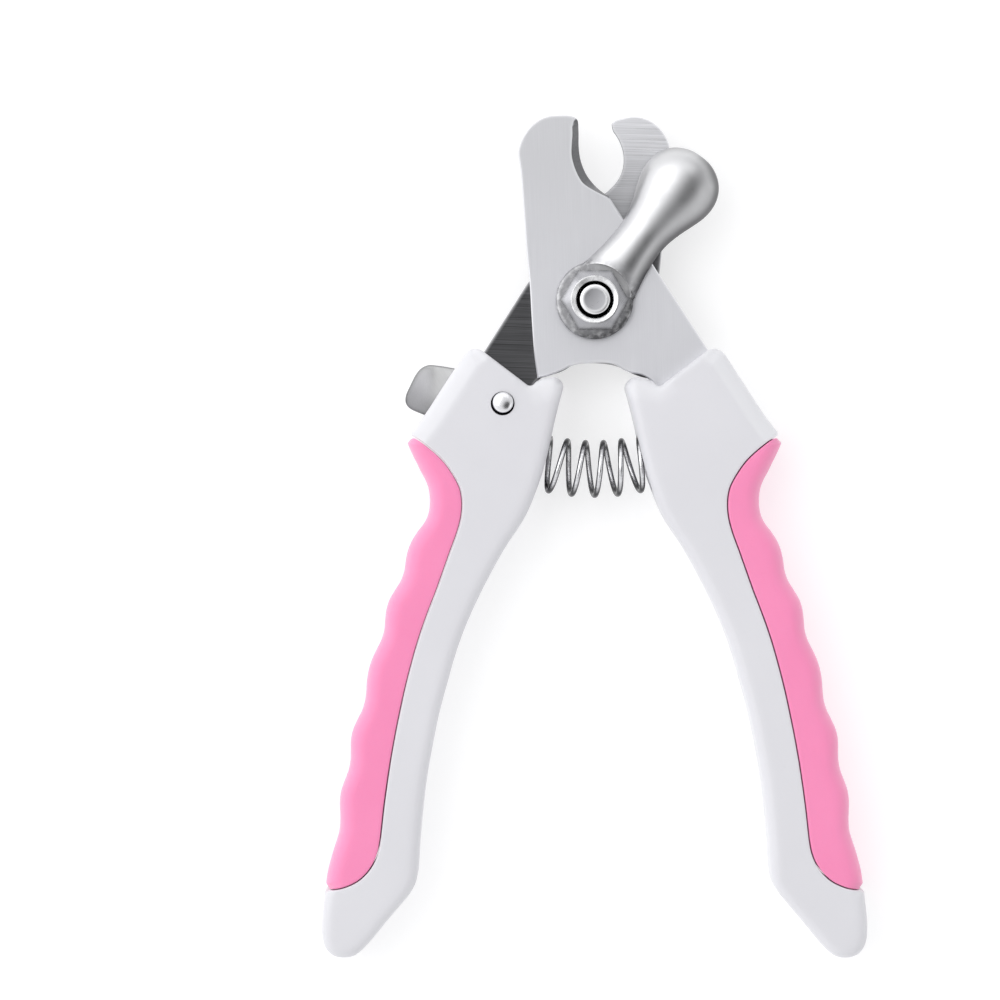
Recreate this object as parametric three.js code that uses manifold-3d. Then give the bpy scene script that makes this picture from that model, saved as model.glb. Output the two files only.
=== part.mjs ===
// Scissor nail clipper: two crossed steel plates on one bolt, two moulded handles with soft
// grips, a coil return spring, a swinging nail guard and a thumb latch.
// Millimetres. The clipper lies flat on its back: +X to its right, +Y toward the jaws, +Z up.
// Every outline is measured from the pivot axis, and each piece is placed by PIVOT_Y.
import * as THREE from 'three';
import { mergeVertices } from 'three/addons/utils/BufferGeometryUtils.js';
import Module from 'manifold-3d';

const wasm = await Module();
wasm.setup();

// ---- driving dimensions ------------------------------------------------------------------
const PIVOT_Y = 41.94;            // pivot axis above the middle of the overall length
const HANDLE_T = 14.0;            // handle thickness
const EDGE_R = 1.5;               // rounding of the moulded edges
const SEAM = 0.3;                 // gap between a grip and its handle
const CLEAR = 0.3;                // gap around a piece seated in a moulding
const REAR_Z = [4.0, 6.975];      // rear plate
const FRONT_Z = [7.025, 10.0];    // front plate
const BOLT_R = 3.0;               // M6 pivot bolt
const BOLT_TOP = 16.0;
const HEAD_AF = 8.2, HEAD_Z = [1.0, 3.25];
const BACK_WASHER = { r: 5.0, z: [3.3, 3.95] };
const BLADE_WASHER = { r: 6.6, z: [10.05, 10.55] };
const GUARD_Z = 10.6, EYE_T = 1.5, EYE_R = 6.96;
const GUARD_ANGLE = 53.4;         // guard direction, degrees from +X
const WAVE_WASHER = { r: 5.1, z: [12.15, 12.55] };
const NUT_AF = 10.4, NUT_Z = [12.6, 15.3];
const RIVET = [-16.29, -18.21];   // latch axis
const RIVET_R = 1.1, RIVET_HEAD_R = 1.84;
const LEVER_Z = [1.8, 3.4];       // latch lever sheet
const LATCH_SLOT_Z = [1.5, 3.9];
const LATCH_SWING = 21.0;         // degrees from free to hooked
const SQUEEZE = 22.0;             // degrees from open to closed
const PIN = [8.18, -15.41], PIN_R = 0.9, PIN_Z = [0.4, 6.4];
const COIL_ARC_R = 37.5;          // the spring's axis is an arc, centred above it
const COIL_MID_Y = -30.0, COIL_Z = 7.0;
const COIL_R = 4.7, WIRE_R = 0.5, COIL_TURNS = 6.4, COIL_HALF = 18.0;
const SOCKET_R = 5.7, SOCKET_HALF = 19.3;

// ---- outlines, from the pivot axis ---------------------------------------------------------
// right-hand handle; the left one is its mirror image
const HEAD_OUT = [[19.8, -9.1], [21.9, -7.5], [23.7, -10.36], [27.0, -15.45], [30.21, -20.36]];
const GRIP_OUT = [[33.35, -24.2], [32.95, -26.25], [31.57, -29.11], [30.11, -31.96], [29.37, -34.6],
  [29.52, -37.6], [30.45, -39.82], [31.9, -41.9], [33.2, -44.46], [33.75, -47.1], [34.2, -49.4],
  [35.54, -51.61], [36.7, -53.8], [37.2, -56.5], [37.5, -59.2], [38.4, -61.6], [39.71, -64.11],
  [40.45, -66.8], [40.7, -69.46], [41.0, -72.0], [42.32, -74.82], [43.2, -77.0], [43.4, -79.3],
  [43.45, -81.96], [44.1, -84.6], [45.14, -87.32], [45.35, -90.0], [45.25, -92.68], [45.6, -95.2],
  [46.54, -98.04], [47.3, -101.0], [47.85, -104.4]];
const HEEL_OUT = [[48.3, -108.2], [48.48, -111.25], [48.25, -113.9], [47.2, -116.0], [45.4, -116.85],
  [43.5, -116.85], [41.6, -115.75]];
const INNER = [[40.0, -114.11], [37.05, -110.54], [34.02, -106.96], [32.4, -105.0], [31.5, -102.6],
  [31.25, -100.0], [31.07, -96.61], [30.6, -91.2], [29.96, -85.89], [29.1, -80.6], [28.0, -75.18],
  [26.6, -69.8], [25.11, -64.29], [23.93, -60.54], [22.5, -56.96], [20.89, -53.39], [19.11, -49.82],
  [17.23, -46.25], [15.04, -42.68], [13.1, -39.9], [11.57, -37.14], [10.18, -33.57], [8.9, -29.6],
  [7.82, -25.18], [6.7, -20.2], [5.6, -16.2], [5.3, -13.75]];
const NOSE = [[10.0, -14.04], [11.36, -15.57]];
const HANDLE = [...HEAD_OUT, ...GRIP_OUT, ...HEEL_OUT, ...INNER, ...NOSE];
// the line where the soft grip meets the hard moulding, from the top down
const SEAM_LINE = [[31.25, -24.91], [29.0, -26.6], [26.5, -29.11], [24.64, -31.96], [23.75, -34.6],
  [23.73, -38.75], [24.9, -42.5], [26.3, -46.43], [27.54, -50.0], [28.84, -53.39], [30.18, -56.96],
  [31.38, -60.54], [32.41, -64.11], [33.36, -67.68], [34.18, -71.25], [34.93, -74.82],
  [35.62, -78.39], [36.25, -81.96], [36.8, -85.54], [37.3, -89.11], [37.71, -92.68],
  [38.09, -96.25], [38.7, -99.2], [40.36, -101.79], [42.6, -103.6], [45.0, -104.55]];
const SEAM_TOP = [34.6, -22.3], SEAM_END = [50.0, -104.9];
// steel tang inside the right-hand handle
const TANG = [[25.39, -18.04], [27.36, -23.04], [27.0, -26.96], [24.86, -31.25], [23.07, -35.54],
  [23.07, -40.89], [24.05, -45.54], [24.68, -48.75], [24.14, -50.0], [22.89, -50.54],
  [21.64, -50.0], [20.39, -47.68], [18.61, -43.57], [16.91, -39.11], [15.7, -34.64],
  [15.3, -30.18], [15.2, -24.82], [13.96, -21.25], [12.0, -17.68], [11.29, -15.57]];
// concave lower edge between the two tangs, from right to left
const ARCH = [[10.14, -14.29], [9.25, -13.57], [8.18, -13.14], [6.57, -12.86], [5.23, -12.32],
  [4.07, -11.5], [3.18, -11.11], [1.04, -11.02], [-0.75, -11.07], [-2.71, -11.27],
  [-4.32, -11.68], [-5.57, -12.32], [-7.0, -13.04], [-8.43, -13.5], [-10.14, -13.82]];
const JAW_SIDE = [[-10.71, -9.5], [-11.16, -3.21], [-11.54, 3.32], [-12.04, 8.34],
  [-12.66, 17.11], [-13.16, 23.36]];
const FRONT_TIP = [[-13.54, 26.38], [-13.29, 27.59], [-12.54, 29.38], [-11.29, 31.04],
  [-9.77, 32.21], [-8.02, 32.82], [-6.27, 33.0], [-4.77, 33.0], [-3.52, 32.75], [-2.93, 32.18]];
const FRONT_EDGE = [[-2.82, 31.25], [-2.77, 29.64], [-2.79, 28.21], [-2.63, 26.07],
  [-2.18, 24.29], [-1.38, 22.59], [-0.39, 21.25], [0.59, 20.21], [1.62, 19.18]];
const FRONT_ROOT = [[2.5, 18.7], [20.4, -9.0]];
const REAR_TIP = [[13.68, 26.43], [13.41, 28.04], [12.64, 29.73], [11.3, 31.36], [9.52, 32.57],
  [7.64, 32.96], [6.21, 32.88], [4.79, 32.61], [3.75, 32.25]];
const REAR_EDGE = [[3.11, 31.68], [3.37, 30.5], [4.12, 29.32], [4.75, 28.07], [5.18, 26.62],
  [5.3, 25.12], [5.04, 23.36], [4.29, 21.71], [3.43, 20.57], [1.68, 19.11], [0.3, 18.3]];
const REAR_ROOT = [[-1.6, 17.6], [-12.1, 2.86], [-19.68, -9.11]];
// latch lever in its free position, from its own axis: the thumb tab and its web
const TAB = [[-1.0, -3.7], [-5.6, -3.3], [-11.25, -2.86], [-13.93, -2.11], [-16.25, -1.21], [-17.64, -0.64],
  [-17.93, -0.18], [-17.75, 0.54], [-16.7, 2.86], [-15.54, 5.36], [-15.0, 6.43], [-14.38, 6.82],
  [-13.39, 6.91], [-11.52, 6.77], [-9.36, 6.3], [-7.3, 6.0], [-4.5, 4.8], [-1.0, 3.8]];
// the hooked arm in its locked position, from the latch axis
const ARM = [[-2.0, 3.6], [2.2, 5.2], [8.0, 6.5], [14.0, 6.3], [18.6, 5.4], [20.8, 3.6],
  [20.9, 1.0], [20.3, 0.25], [19.4, 0.45], [19.25, 2.2], [17.2, 2.35], [15.8, 2.9], [13.0, 3.1],
  [8.0, 2.6], [4.0, 0.2], [2.4, -3.0], [-2.0, -3.4]];
// guard half-width along its own axis
const GUARD_W = [[3.2, 6.15], [5.36, 5.39], [7.68, 4.82], [10.54, 4.46], [13.39, 4.34],
  [15.54, 4.5], [18.39, 5.23], [20.71, 6.07], [23.04, 6.84], [25.0, 7.14], [26.79, 6.96],
  [28.57, 6.29], [30.0, 5.18], [31.07, 3.66], [31.88, 1.88]];
const GUARD_H = [[3.2, 2.7], [10.0, 3.0], [15.0, 3.5], [20.0, 4.7], [24.0, 5.6], [27.0, 5.8],
  [29.0, 5.3], [30.4, 4.2], [31.3, 2.7], [31.88, 1.2]];
const GUARD_WALL = 1.1;

// ---- helpers -------------------------------------------------------------------------------
const rad = (d) => d * Math.PI / 180;
const flipX = (pts) => pts.map(([x, y]) => [-x, y]);
const spin = (pts, deg, [cx, cy] = [0, 0]) => {
  const c = Math.cos(rad(deg)), s = Math.sin(rad(deg));
  return pts.map(([x, y]) => [cx + (x - cx) * c - (y - cy) * s, cy + (x - cx) * s + (y - cy) * c]);
};
const shift = (pts, [dx, dy]) => pts.map(([x, y]) => [x + dx, y + dy]);
const area = (pts) => pts.reduce((a, [x, y], i) => {
  const [u, v] = pts[(i + 1) % pts.length];
  return a + x * v - u * y;
}, 0) / 2;

// closed outline moved outward by d (inward when d is negative)
function grow(pts, d) {
  const sign = area(pts) > 0 ? 1 : -1;
  const n = pts.length;
  return pts.map((p, i) => {
    const a = pts[(i + n - 1) % n], b = pts[(i + 1) % n];
    const u = [p[0] - a[0], p[1] - a[1]], v = [b[0] - p[0], b[1] - p[1]];
    const lu = Math.hypot(...u), lv = Math.hypot(...v);
    const nu = [u[1] / lu * sign, -u[0] / lu * sign], nv = [v[1] / lv * sign, -v[0] / lv * sign];
    const m = [nu[0] + nv[0], nu[1] + nv[1]];
    const k = Math.min(2 / Math.max(m[0] * m[0] + m[1] * m[1], 1e-6), 2.0);
    return [p[0] + m[0] * d * k, p[1] + m[1] * d * k];
  });
}

// value on a table of [x, y] rows
function lookup(table, x) {
  if (x <= table[0][0]) return table[0][1];
  for (let i = 1; i < table.length; i++) {
    const [a, b] = [table[i - 1], table[i]];
    if (x <= b[0]) return a[1] + (b[1] - a[1]) * (x - a[0]) / (b[0] - a[0]);
  }
  return table[table.length - 1][1];
}

function toSolid(geometry) {
  const g = geometry.clone();
  g.deleteAttribute('normal');
  g.deleteAttribute('uv');
  const m = mergeVertices(g, 1e-4);
  return new wasm.Manifold(new wasm.Mesh({
    numProp: 3,
    vertProperties: new Float32Array(m.attributes.position.array),
    triVerts: new Uint32Array(m.index.array),
  }));
}

function toGeometry(solid) {
  const m = solid.getMesh();
  const g = new THREE.BufferGeometry();
  g.setAttribute('position', new THREE.BufferAttribute(new Float32Array(m.vertProperties), 3));
  g.setIndex(new THREE.BufferAttribute(new Uint32Array(m.triVerts), 1));
  g.computeVertexNormals();
  return g;
}

// outline extruded from z0 to z1, with rounded edges when r > 0
function slab(pts, z0, z1, r = 0, segments = 2) {
  const shape = new THREE.Shape(pts.map(([x, y]) => new THREE.Vector2(x, y)));
  const g = new THREE.ExtrudeGeometry(shape, {
    depth: z1 - z0 - 2 * r, steps: 1, bevelEnabled: r > 0,
    bevelThickness: r, bevelSize: r, bevelOffset: -r, bevelSegments: segments,
  });
  g.translate(0, 0, z0 + r);
  return toSolid(g);
}

const disc = (r, sides = 24) => Array.from({ length: sides }, (_, i) => {
  const a = 2 * Math.PI * i / sides;
  return [r * Math.cos(a), r * Math.sin(a)];
});
const rod = ([x, y], r, z0, z1, sides = 24) => slab(shift(disc(r, sides), [x, y]), z0, z1);

// solid of revolution about Z from [radius, z] rows that start and end on the axis
function turned([x, y], rows, sides = 24) {
  const g = new THREE.LatheGeometry(rows.map(([r, z]) => new THREE.Vector2(r, z)), sides);
  g.rotateX(Math.PI / 2);
  g.translate(x, y, 0);
  return toSolid(g);
}

// three-sided cutter that puts a bevel on the edge that runs along pts
function bevelCutter(pts, out, width, zFace, zEdge) {
  const h = zFace - zEdge, over = 0.4 * Math.sign(h), under = 0.5 * h;
  const rows = pts.map((p, i) => {
    const a = pts[Math.max(i - 1, 0)], b = pts[Math.min(i + 1, pts.length - 1)];
    const t = [b[0] - a[0], b[1] - a[1]], l = Math.hypot(...t);
    const n = [t[1] / l * out, -t[0] / l * out];
    const at = (d, z) => new THREE.Vector3(p[0] + n[0] * d, p[1] + n[1] * d, z);
    return [at(-width * (1 + over / h), zFace + over), at(width * under / h, zFace + over),
      at(width * under / h, zEdge - under)];
  });
  const v = rows.flat(), idx = [];
  for (let i = 0; i + 1 < rows.length; i++) {
    for (let k = 0; k < 3; k++) {
      const a = 3 * i + k, b = 3 * i + (k + 1) % 3;
      idx.push(a, b, b + 3, a, b + 3, a + 3);
    }
  }
  const e = 3 * (rows.length - 1);
  idx.push(0, 2, 1, e, e + 1, e + 2);
  const make = (list) => {
    const g = new THREE.BufferGeometry();
    g.setAttribute('position', new THREE.Float32BufferAttribute(v.flatMap((q) => [q.x, q.y, q.z]), 3));
    g.setIndex(list);
    return toSolid(g);
  };
  const s = make(idx);
  return s.volume() > 0 ? s : make(idx.map((_, i) => idx[i - (i % 3) + 2 - (i % 3)]));
}

const group = new THREE.Group();
function place(name, solid, color, roughness, metalness, angle = 0) {
  const mesh = new THREE.Mesh(toGeometry(solid),
    new THREE.MeshStandardMaterial({ color, roughness, metalness, flatShading: true }));
  mesh.name = name;
  mesh.position.set(0, PIVOT_Y, 0);
  mesh.rotation.z = rad(angle);
  group.add(mesh);
}

// ---- steel plates ----------------------------------------------------------------------------
const frontOutline = [...JAW_SIDE, ...FRONT_TIP, ...FRONT_EDGE, ...FRONT_ROOT, ...TANG, ...ARCH];
const rearOutline = [...flipX(JAW_SIDE), ...REAR_TIP, ...REAR_EDGE, ...REAR_ROOT,
  ...flipX(TANG), ...flipX(ARCH)];
const boltHole = rod([0, 0], BOLT_R + 0.15, -1, 20);
const rivetHole = rod(RIVET, RIVET_R + 0.2, -1, 20, 16);

const frontPlate = slab(frontOutline, ...FRONT_Z).subtract(boltHole)
  .subtract(bevelCutter(FRONT_EDGE, -1, 1.1, FRONT_Z[1], FRONT_Z[0] + 0.3));
const rearPlate = slab(rearOutline, ...REAR_Z).subtract(boltHole).subtract(rivetHole)
  .subtract(bevelCutter(REAR_EDGE, 1, 1.1, REAR_Z[0], REAR_Z[1] - 0.3));
place('front_blade', frontPlate, 0xc9c9ce, 0.34, 1.0);
place('rear_blade', rearPlate, 0x77777c, 0.3, 1.0);

// ---- pivot stack --------------------------------------------------------------------------------
const hex = (af, turn) => Array.from({ length: 6 }, (_, i) => {
  const a = rad(60 * i + turn);
  return [af / Math.sqrt(3) * Math.cos(a), af / Math.sqrt(3) * Math.sin(a)];
});
const ring = (r, [z0, z1], bore = BOLT_R + 0.15, sides = 24) =>
  rod([0, 0], r, z0, z1, sides).subtract(rod([0, 0], bore, z0 - 1, z1 + 1, sides));
const boltHead = slab(hex(HEAD_AF, 30), ...HEAD_Z).intersect(turned([0, 0],
  [[0, 0.9], [3.9, 0.9], [4.9, 1.5], [4.9, 3.4], [0, 3.4]]));
place('pivot_bolt', boltHead.add(turned([0, 0],
  [[0, 3.0], [BOLT_R, 3.0], [BOLT_R, BOLT_TOP - 0.5], [BOLT_R - 0.5, BOLT_TOP], [0, BOLT_TOP]])),
  0xa9aaad, 0.3, 1.0);
place('back_washer', ring(BACK_WASHER.r, BACK_WASHER.z), 0xb4b4b8, 0.35, 1.0);
place('blade_washer', ring(BLADE_WASHER.r, BLADE_WASHER.z), 0xb4b4b8, 0.35, 1.0);
place('guard_wave_washer', ring(WAVE_WASHER.r, WAVE_WASHER.z), 0x9c9ca0, 0.4, 1.0);
place('pivot_nut', slab(hex(NUT_AF, 0), ...NUT_Z).intersect(turned([0, 0],
  [[0, 12.5], [6.2, 12.5], [6.2, 14.6], [4.9, 15.35], [0, 15.35]])).subtract(boltHole),
  0xb9babd, 0.28, 1.0);

// ---- nail guard ------------------------------------------------------------------------------------
// half-round shell along +X of its own frame, closed over by its crown and open underneath
function dome(wall, u0, u1, stations, arc, floor) {
  const v = [], idx = [];
  for (let i = 0; i <= stations; i++) {
    const u = u0 + (u1 - u0) * i / stations;
    const w = lookup(GUARD_W, u + (i === stations ? wall * 0.4 : 0)) - wall;
    const h = Math.max(lookup(GUARD_H, u) - wall, 0.4);
    for (let k = 0; k <= arc; k++) {
      const a = Math.PI * k / arc;
      const c = Math.cos(a), s = Math.sin(a);
      v.push(u, w * Math.sign(c) * Math.abs(c) ** 0.8, GUARD_Z + h * s ** 0.85);
    }
    v.push(u, -w, floor, u, w, floor);
  }
  const n = arc + 3;
  for (let i = 0; i < stations; i++) {
    for (let k = 0; k < n; k++) {
      const a = n * i + k, b = n * i + (k + 1) % n;
      idx.push(a, b, b + n, a, b + n, a + n);
    }
  }
  for (let k = 1; k + 1 < n; k++) {
    idx.push(0, k + 1, k, n * stations, n * stations + k, n * stations + k + 1);
  }
  const make = (list) => {
    const g = new THREE.BufferGeometry();
    g.setAttribute('position', new THREE.Float32BufferAttribute(v, 3));
    g.setIndex(list);
    return toSolid(g);
  };
  const s = make(idx);
  if (s.volume() > 0) return s;
  const back = [];
  for (let i = 0; i < idx.length; i += 3) back.push(idx[i], idx[i + 2], idx[i + 1]);
  return make(back);
}
const below = slab([[-40, -40], [40, -40], [40, 40], [-40, 40]], 0, GUARD_Z);
const guard = dome(0, 3.2, 31.88, 22, 14, GUARD_Z - 0.6).subtract(below)
  .add(rod([0, 0], EYE_R, GUARD_Z, GUARD_Z + EYE_T, 36))
  .subtract(dome(GUARD_WALL, 8.2, 30.6, 14, 10, GUARD_Z - 2))
  .subtract(rod([0, 0], 6.45, GUARD_Z + EYE_T, 30, 36))
  .subtract(boltHole);
place('quick_guard', guard, 0xd2d2d6, 0.22, 1.0, GUARD_ANGLE);

// ---- thumb latch ---------------------------------------------------------------------------------------
const armFree = spin(ARM, LATCH_SWING);
const hub = disc(3.9, 24);
const sheet = (extra, z0, z1) => slab(shift(grow(TAB, extra), RIVET), z0, z1)
  .add(slab(shift(grow(armFree, extra), RIVET), z0, z1))
  .add(slab(shift(grow(hub, extra), RIVET), z0, z1));
// the tab curls forward: a strip bent in XZ, drawn along Y and cut to the tab's outline
const curl = [[-11.0, LEVER_Z[0]]];
for (let i = 0; i <= 10; i++) {
  const x = -12.4 - 5.8 * i / 10;
  curl.push([x, LEVER_Z[0] + 3.6 * (i / 10) ** 1.7]);
}
const curlTop = curl.map(([x, z], i) => [x + 0.05 * i, z + (LEVER_Z[1] - LEVER_Z[0])]).reverse();
const strip = new THREE.ExtrudeGeometry(
  new THREE.Shape([...curl, ...curlTop].map(([x, z]) => new THREE.Vector2(x, z))),
  { depth: 14, bevelEnabled: false, steps: 1 });
strip.rotateX(Math.PI / 2);
strip.translate(RIVET[0], RIVET[1] + 10, 0);
const outside = slab(shift([[-11.6, -6], [-11.6, 10], [-25, 10], [-25, -6]], RIVET), 0, 12);
const lever = sheet(0, ...LEVER_Z).subtract(outside)
  .add(toSolid(strip).intersect(slab(shift(TAB, RIVET), 0, 12))).subtract(rivetHole);
place('latch_lever', lever, 0xa2a2a4, 0.38, 1.0);
place('latch_spring_washer', rod(RIVET, 2.3, 3.45, 3.85, 16).subtract(rivetHole), 0x9c9ca0, 0.4, 1.0);
const [rx, ry] = RIVET;
place('latch_rivet', turned([rx, ry], [[0, 0.2], [RIVET_HEAD_R - 0.3, 0.2], [RIVET_HEAD_R, 0.45],
  [RIVET_HEAD_R, 0.85], [RIVET_R, 0.85], [RIVET_R, HANDLE_T + 0.05],
  [RIVET_HEAD_R, HANDLE_T + 0.05], [RIVET_HEAD_R - 0.12, HANDLE_T + 0.4],
  [RIVET_HEAD_R - 0.75, HANDLE_T + 0.8], [0, HANDLE_T + 0.95]], 16), 0xd8d8dc, 0.18, 1.0);
place('latch_catch_pin', rod(PIN, PIN_R, ...PIN_Z, 16), 0xb9babd, 0.25, 1.0);

// ---- return spring ---------------------------------------------------------------------------------------
const coilAt = (deg, r, a) => {
  const t = rad(deg);
  const out = [Math.sin(t), -Math.cos(t)];
  return new THREE.Vector3(out[0] * (COIL_ARC_R + r * Math.cos(a)),
    COIL_MID_Y + COIL_ARC_R + out[1] * (COIL_ARC_R + r * Math.cos(a)), COIL_Z + r * Math.sin(a));
};
class Coil extends THREE.Curve {
  getPoint(t) {
    return coilAt(COIL_HALF * (2 * t - 1), COIL_R, 2 * Math.PI * COIL_TURNS * (t - 0.5) - 0.15);
  }
}
const wire = new THREE.Shape(disc(WIRE_R, 8).map(([x, y]) => new THREE.Vector2(x, y)));
place('return_spring', toSolid(new THREE.ExtrudeGeometry(wire,
  { steps: 112, bevelEnabled: false, extrudePath: new Coil() })), 0xc4c4c8, 0.25, 1.0);

// ---- handles and grips -----------------------------------------------------------------------------------
const side = (pts, s) => (s > 0 ? pts : flipX(pts));
const seamAt = (y) => lookup(SEAM_LINE.map(([x, v]) => [-v, x]), -y);
const outAt = (y) => lookup([...GRIP_OUT, ...HEEL_OUT].map(([x, v]) => [-v, x]), -y);
const spine = (extra) => {
  const ys = [-31, -35, -39, -44, -50, -56, -62, -68, -74, -80, -86, -92, -97];
  const inner = ys.map((y) => [seamAt(y) - 1.5, y]);
  const outer = ys.map((y) => [seamAt(y) + 0.5 * (outAt(y) - seamAt(y)) + extra, y]).reverse();
  inner[0][1] += extra; outer[outer.length - 1][1] += extra;
  inner[inner.length - 1][1] -= extra; outer[0][1] -= extra;
  return [...inner, ...outer];
};
const gripRegion = (extra) => {
  const line = [SEAM_TOP, ...SEAM_LINE, SEAM_END];
  const closed = [...line, [60, -104.9], [60, -22.3]];
  const moved = grow(closed, extra);
  return moved;
};
// round pocket for one end of the spring, its axis along the spring's own arc
function socket(s) {
  const from = 10.5, to = SOCKET_HALF;
  const t = rad((from + to) / 2) * s;
  const length = rad(to - from) * COIL_ARC_R + 2.2;
  const g = new THREE.CylinderGeometry(SOCKET_R, SOCKET_R, length, 28);
  g.rotateZ(Math.PI / 2 + t);
  const at = COIL_ARC_R, back = (length - rad(to - from) * COIL_ARC_R) / 2;
  g.translate(at * Math.sin(t) - s * Math.cos(t) * back,
    COIL_MID_Y + COIL_ARC_R - at * Math.cos(t) - s * Math.sin(t) * s * back, COIL_Z);
  return toSolid(g);
}
function makeHandle(s) {
  const body = slab(side(HANDLE, s), 0, HANDLE_T, EDGE_R, 2);
  const grip = slab(side(gripRegion(0), s), -1, HANDLE_T + 1);
  const gripCut = slab(side(gripRegion(SEAM), s), -1, HANDLE_T + 1);
  const rail = slab(side(spine(0), s), 4.0, 10.0);
  const railRoom = slab(side(spine(SEAM), s), 4.0 - SEAM, 10.0 + SEAM);
  const plateZ = s > 0 ? FRONT_Z : REAR_Z;
  const tang = [...TANG, ...ARCH.slice(0, 5), [9.0, -9.0], [19.0, -5.0], [21.0, -9.0]];
  const pocket = slab(side(grow(tang, CLEAR), s), plateZ[0] - CLEAR, plateZ[1] + CLEAR);
  let moulding = body.subtract(gripCut).add(rail.intersect(body)).subtract(pocket)
    .subtract(socket(s));
  return { moulding, grip: body.intersect(grip).subtract(railRoom) };
}
const left = makeHandle(-1), right = makeHandle(1);

// room for the lever's whole swing in the left-hand moulding
let swing = sheet(0.35, ...LATCH_SLOT_Z);
const turnAbout = (solid, [x, y], deg) => solid.translate([-x, -y, 0]).rotate([0, 0, deg]).translate([x, y, 0]);
const roomy = sheet(0.35, ...LATCH_SLOT_Z);
for (let a = 3.5; a <= LATCH_SWING + 0.1; a += 3.5) swing = swing.add(turnAbout(roomy, RIVET, -a));
const rivetSeat = rod(RIVET, RIVET_HEAD_R + 0.3, -1, 0.95, 16);
place('left_handle', left.moulding.subtract(swing).subtract(rivetHole).subtract(rivetSeat),
  0xe6e6ea, 0.42, 0.0);
place('left_grip', left.grip.subtract(swing), 0xf593bd, 0.6, 0.0);

// room in the right-hand nose for the hook, as it stands with the arms closed
let hookRoom = null;
for (let q = SQUEEZE - 4; q <= SQUEEZE + 0.1; q += 2) {
  for (let a = 0; a <= LATCH_SWING + 0.1; a += 7) {
    const at = turnAbout(turnAbout(roomy, RIVET, -a), [0, 0], q);
    hookRoom = hookRoom ? hookRoom.add(at) : at;
  }
}
place('right_handle', right.moulding.subtract(hookRoom)
  .subtract(rod(PIN, PIN_R + 0.2, PIN_Z[0] - 0.2, PIN_Z[1] + 0.2, 16)), 0xe6e6ea, 0.42, 0.0);
place('right_grip', right.grip, 0xf593bd, 0.6, 0.0);

export default group;
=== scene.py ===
import math

import bmesh
import bpy
import numpy as np
from mathutils import Matrix, Vector
from mathutils.geometry import delaunay_2d_cdt


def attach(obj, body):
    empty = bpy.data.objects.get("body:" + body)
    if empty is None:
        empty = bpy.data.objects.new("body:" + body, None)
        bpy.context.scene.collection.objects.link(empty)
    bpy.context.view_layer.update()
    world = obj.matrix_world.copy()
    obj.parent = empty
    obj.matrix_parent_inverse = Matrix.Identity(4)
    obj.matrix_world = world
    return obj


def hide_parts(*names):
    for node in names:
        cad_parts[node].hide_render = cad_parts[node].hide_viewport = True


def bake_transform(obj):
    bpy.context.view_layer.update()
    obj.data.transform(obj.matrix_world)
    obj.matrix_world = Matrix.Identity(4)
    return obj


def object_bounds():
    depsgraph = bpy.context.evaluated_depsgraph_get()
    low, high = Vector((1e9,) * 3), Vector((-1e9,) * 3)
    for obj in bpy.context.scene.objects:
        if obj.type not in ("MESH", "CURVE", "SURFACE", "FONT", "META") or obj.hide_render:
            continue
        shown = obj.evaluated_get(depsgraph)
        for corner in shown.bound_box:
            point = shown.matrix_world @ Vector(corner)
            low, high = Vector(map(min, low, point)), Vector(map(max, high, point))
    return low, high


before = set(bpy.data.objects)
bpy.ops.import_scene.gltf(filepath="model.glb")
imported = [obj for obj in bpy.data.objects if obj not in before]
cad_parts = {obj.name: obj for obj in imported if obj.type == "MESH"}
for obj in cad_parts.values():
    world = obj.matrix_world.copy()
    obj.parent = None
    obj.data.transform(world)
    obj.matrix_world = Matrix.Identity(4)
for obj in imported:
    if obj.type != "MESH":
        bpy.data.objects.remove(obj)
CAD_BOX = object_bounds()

# The clipper lies on its back. Outlines are in mm from the pivot axis; metres come in at the end.
MM = 0.001
PIVOT_Y = 41.94
T = 14.0                       # handle thickness
REAR = (4.0, 6.975)
FRONT = (7.025, 10.0)
GUARD_Z, EYE_T, EYE_R, GUARD_ANGLE = 10.6, 1.5, 6.96, 53.4
RIVET = np.array([-16.29, -18.21])
SWING, SQUEEZE = 21.0, 22.0
LEVER_Z = (1.8, 3.4)


# ---- 2D tools ----------------------------------------------------------------------------------
def rot(p, deg, c=(0.0, 0.0)):
    p, c = np.asarray(p, float), np.asarray(c, float)
    a = math.radians(deg)
    m = np.array([[math.cos(a), -math.sin(a)], [math.sin(a), math.cos(a)]])
    return (p - c) @ m.T + c


def flip(p):
    return np.asarray(p, float) * np.array([-1.0, 1.0])


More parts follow.
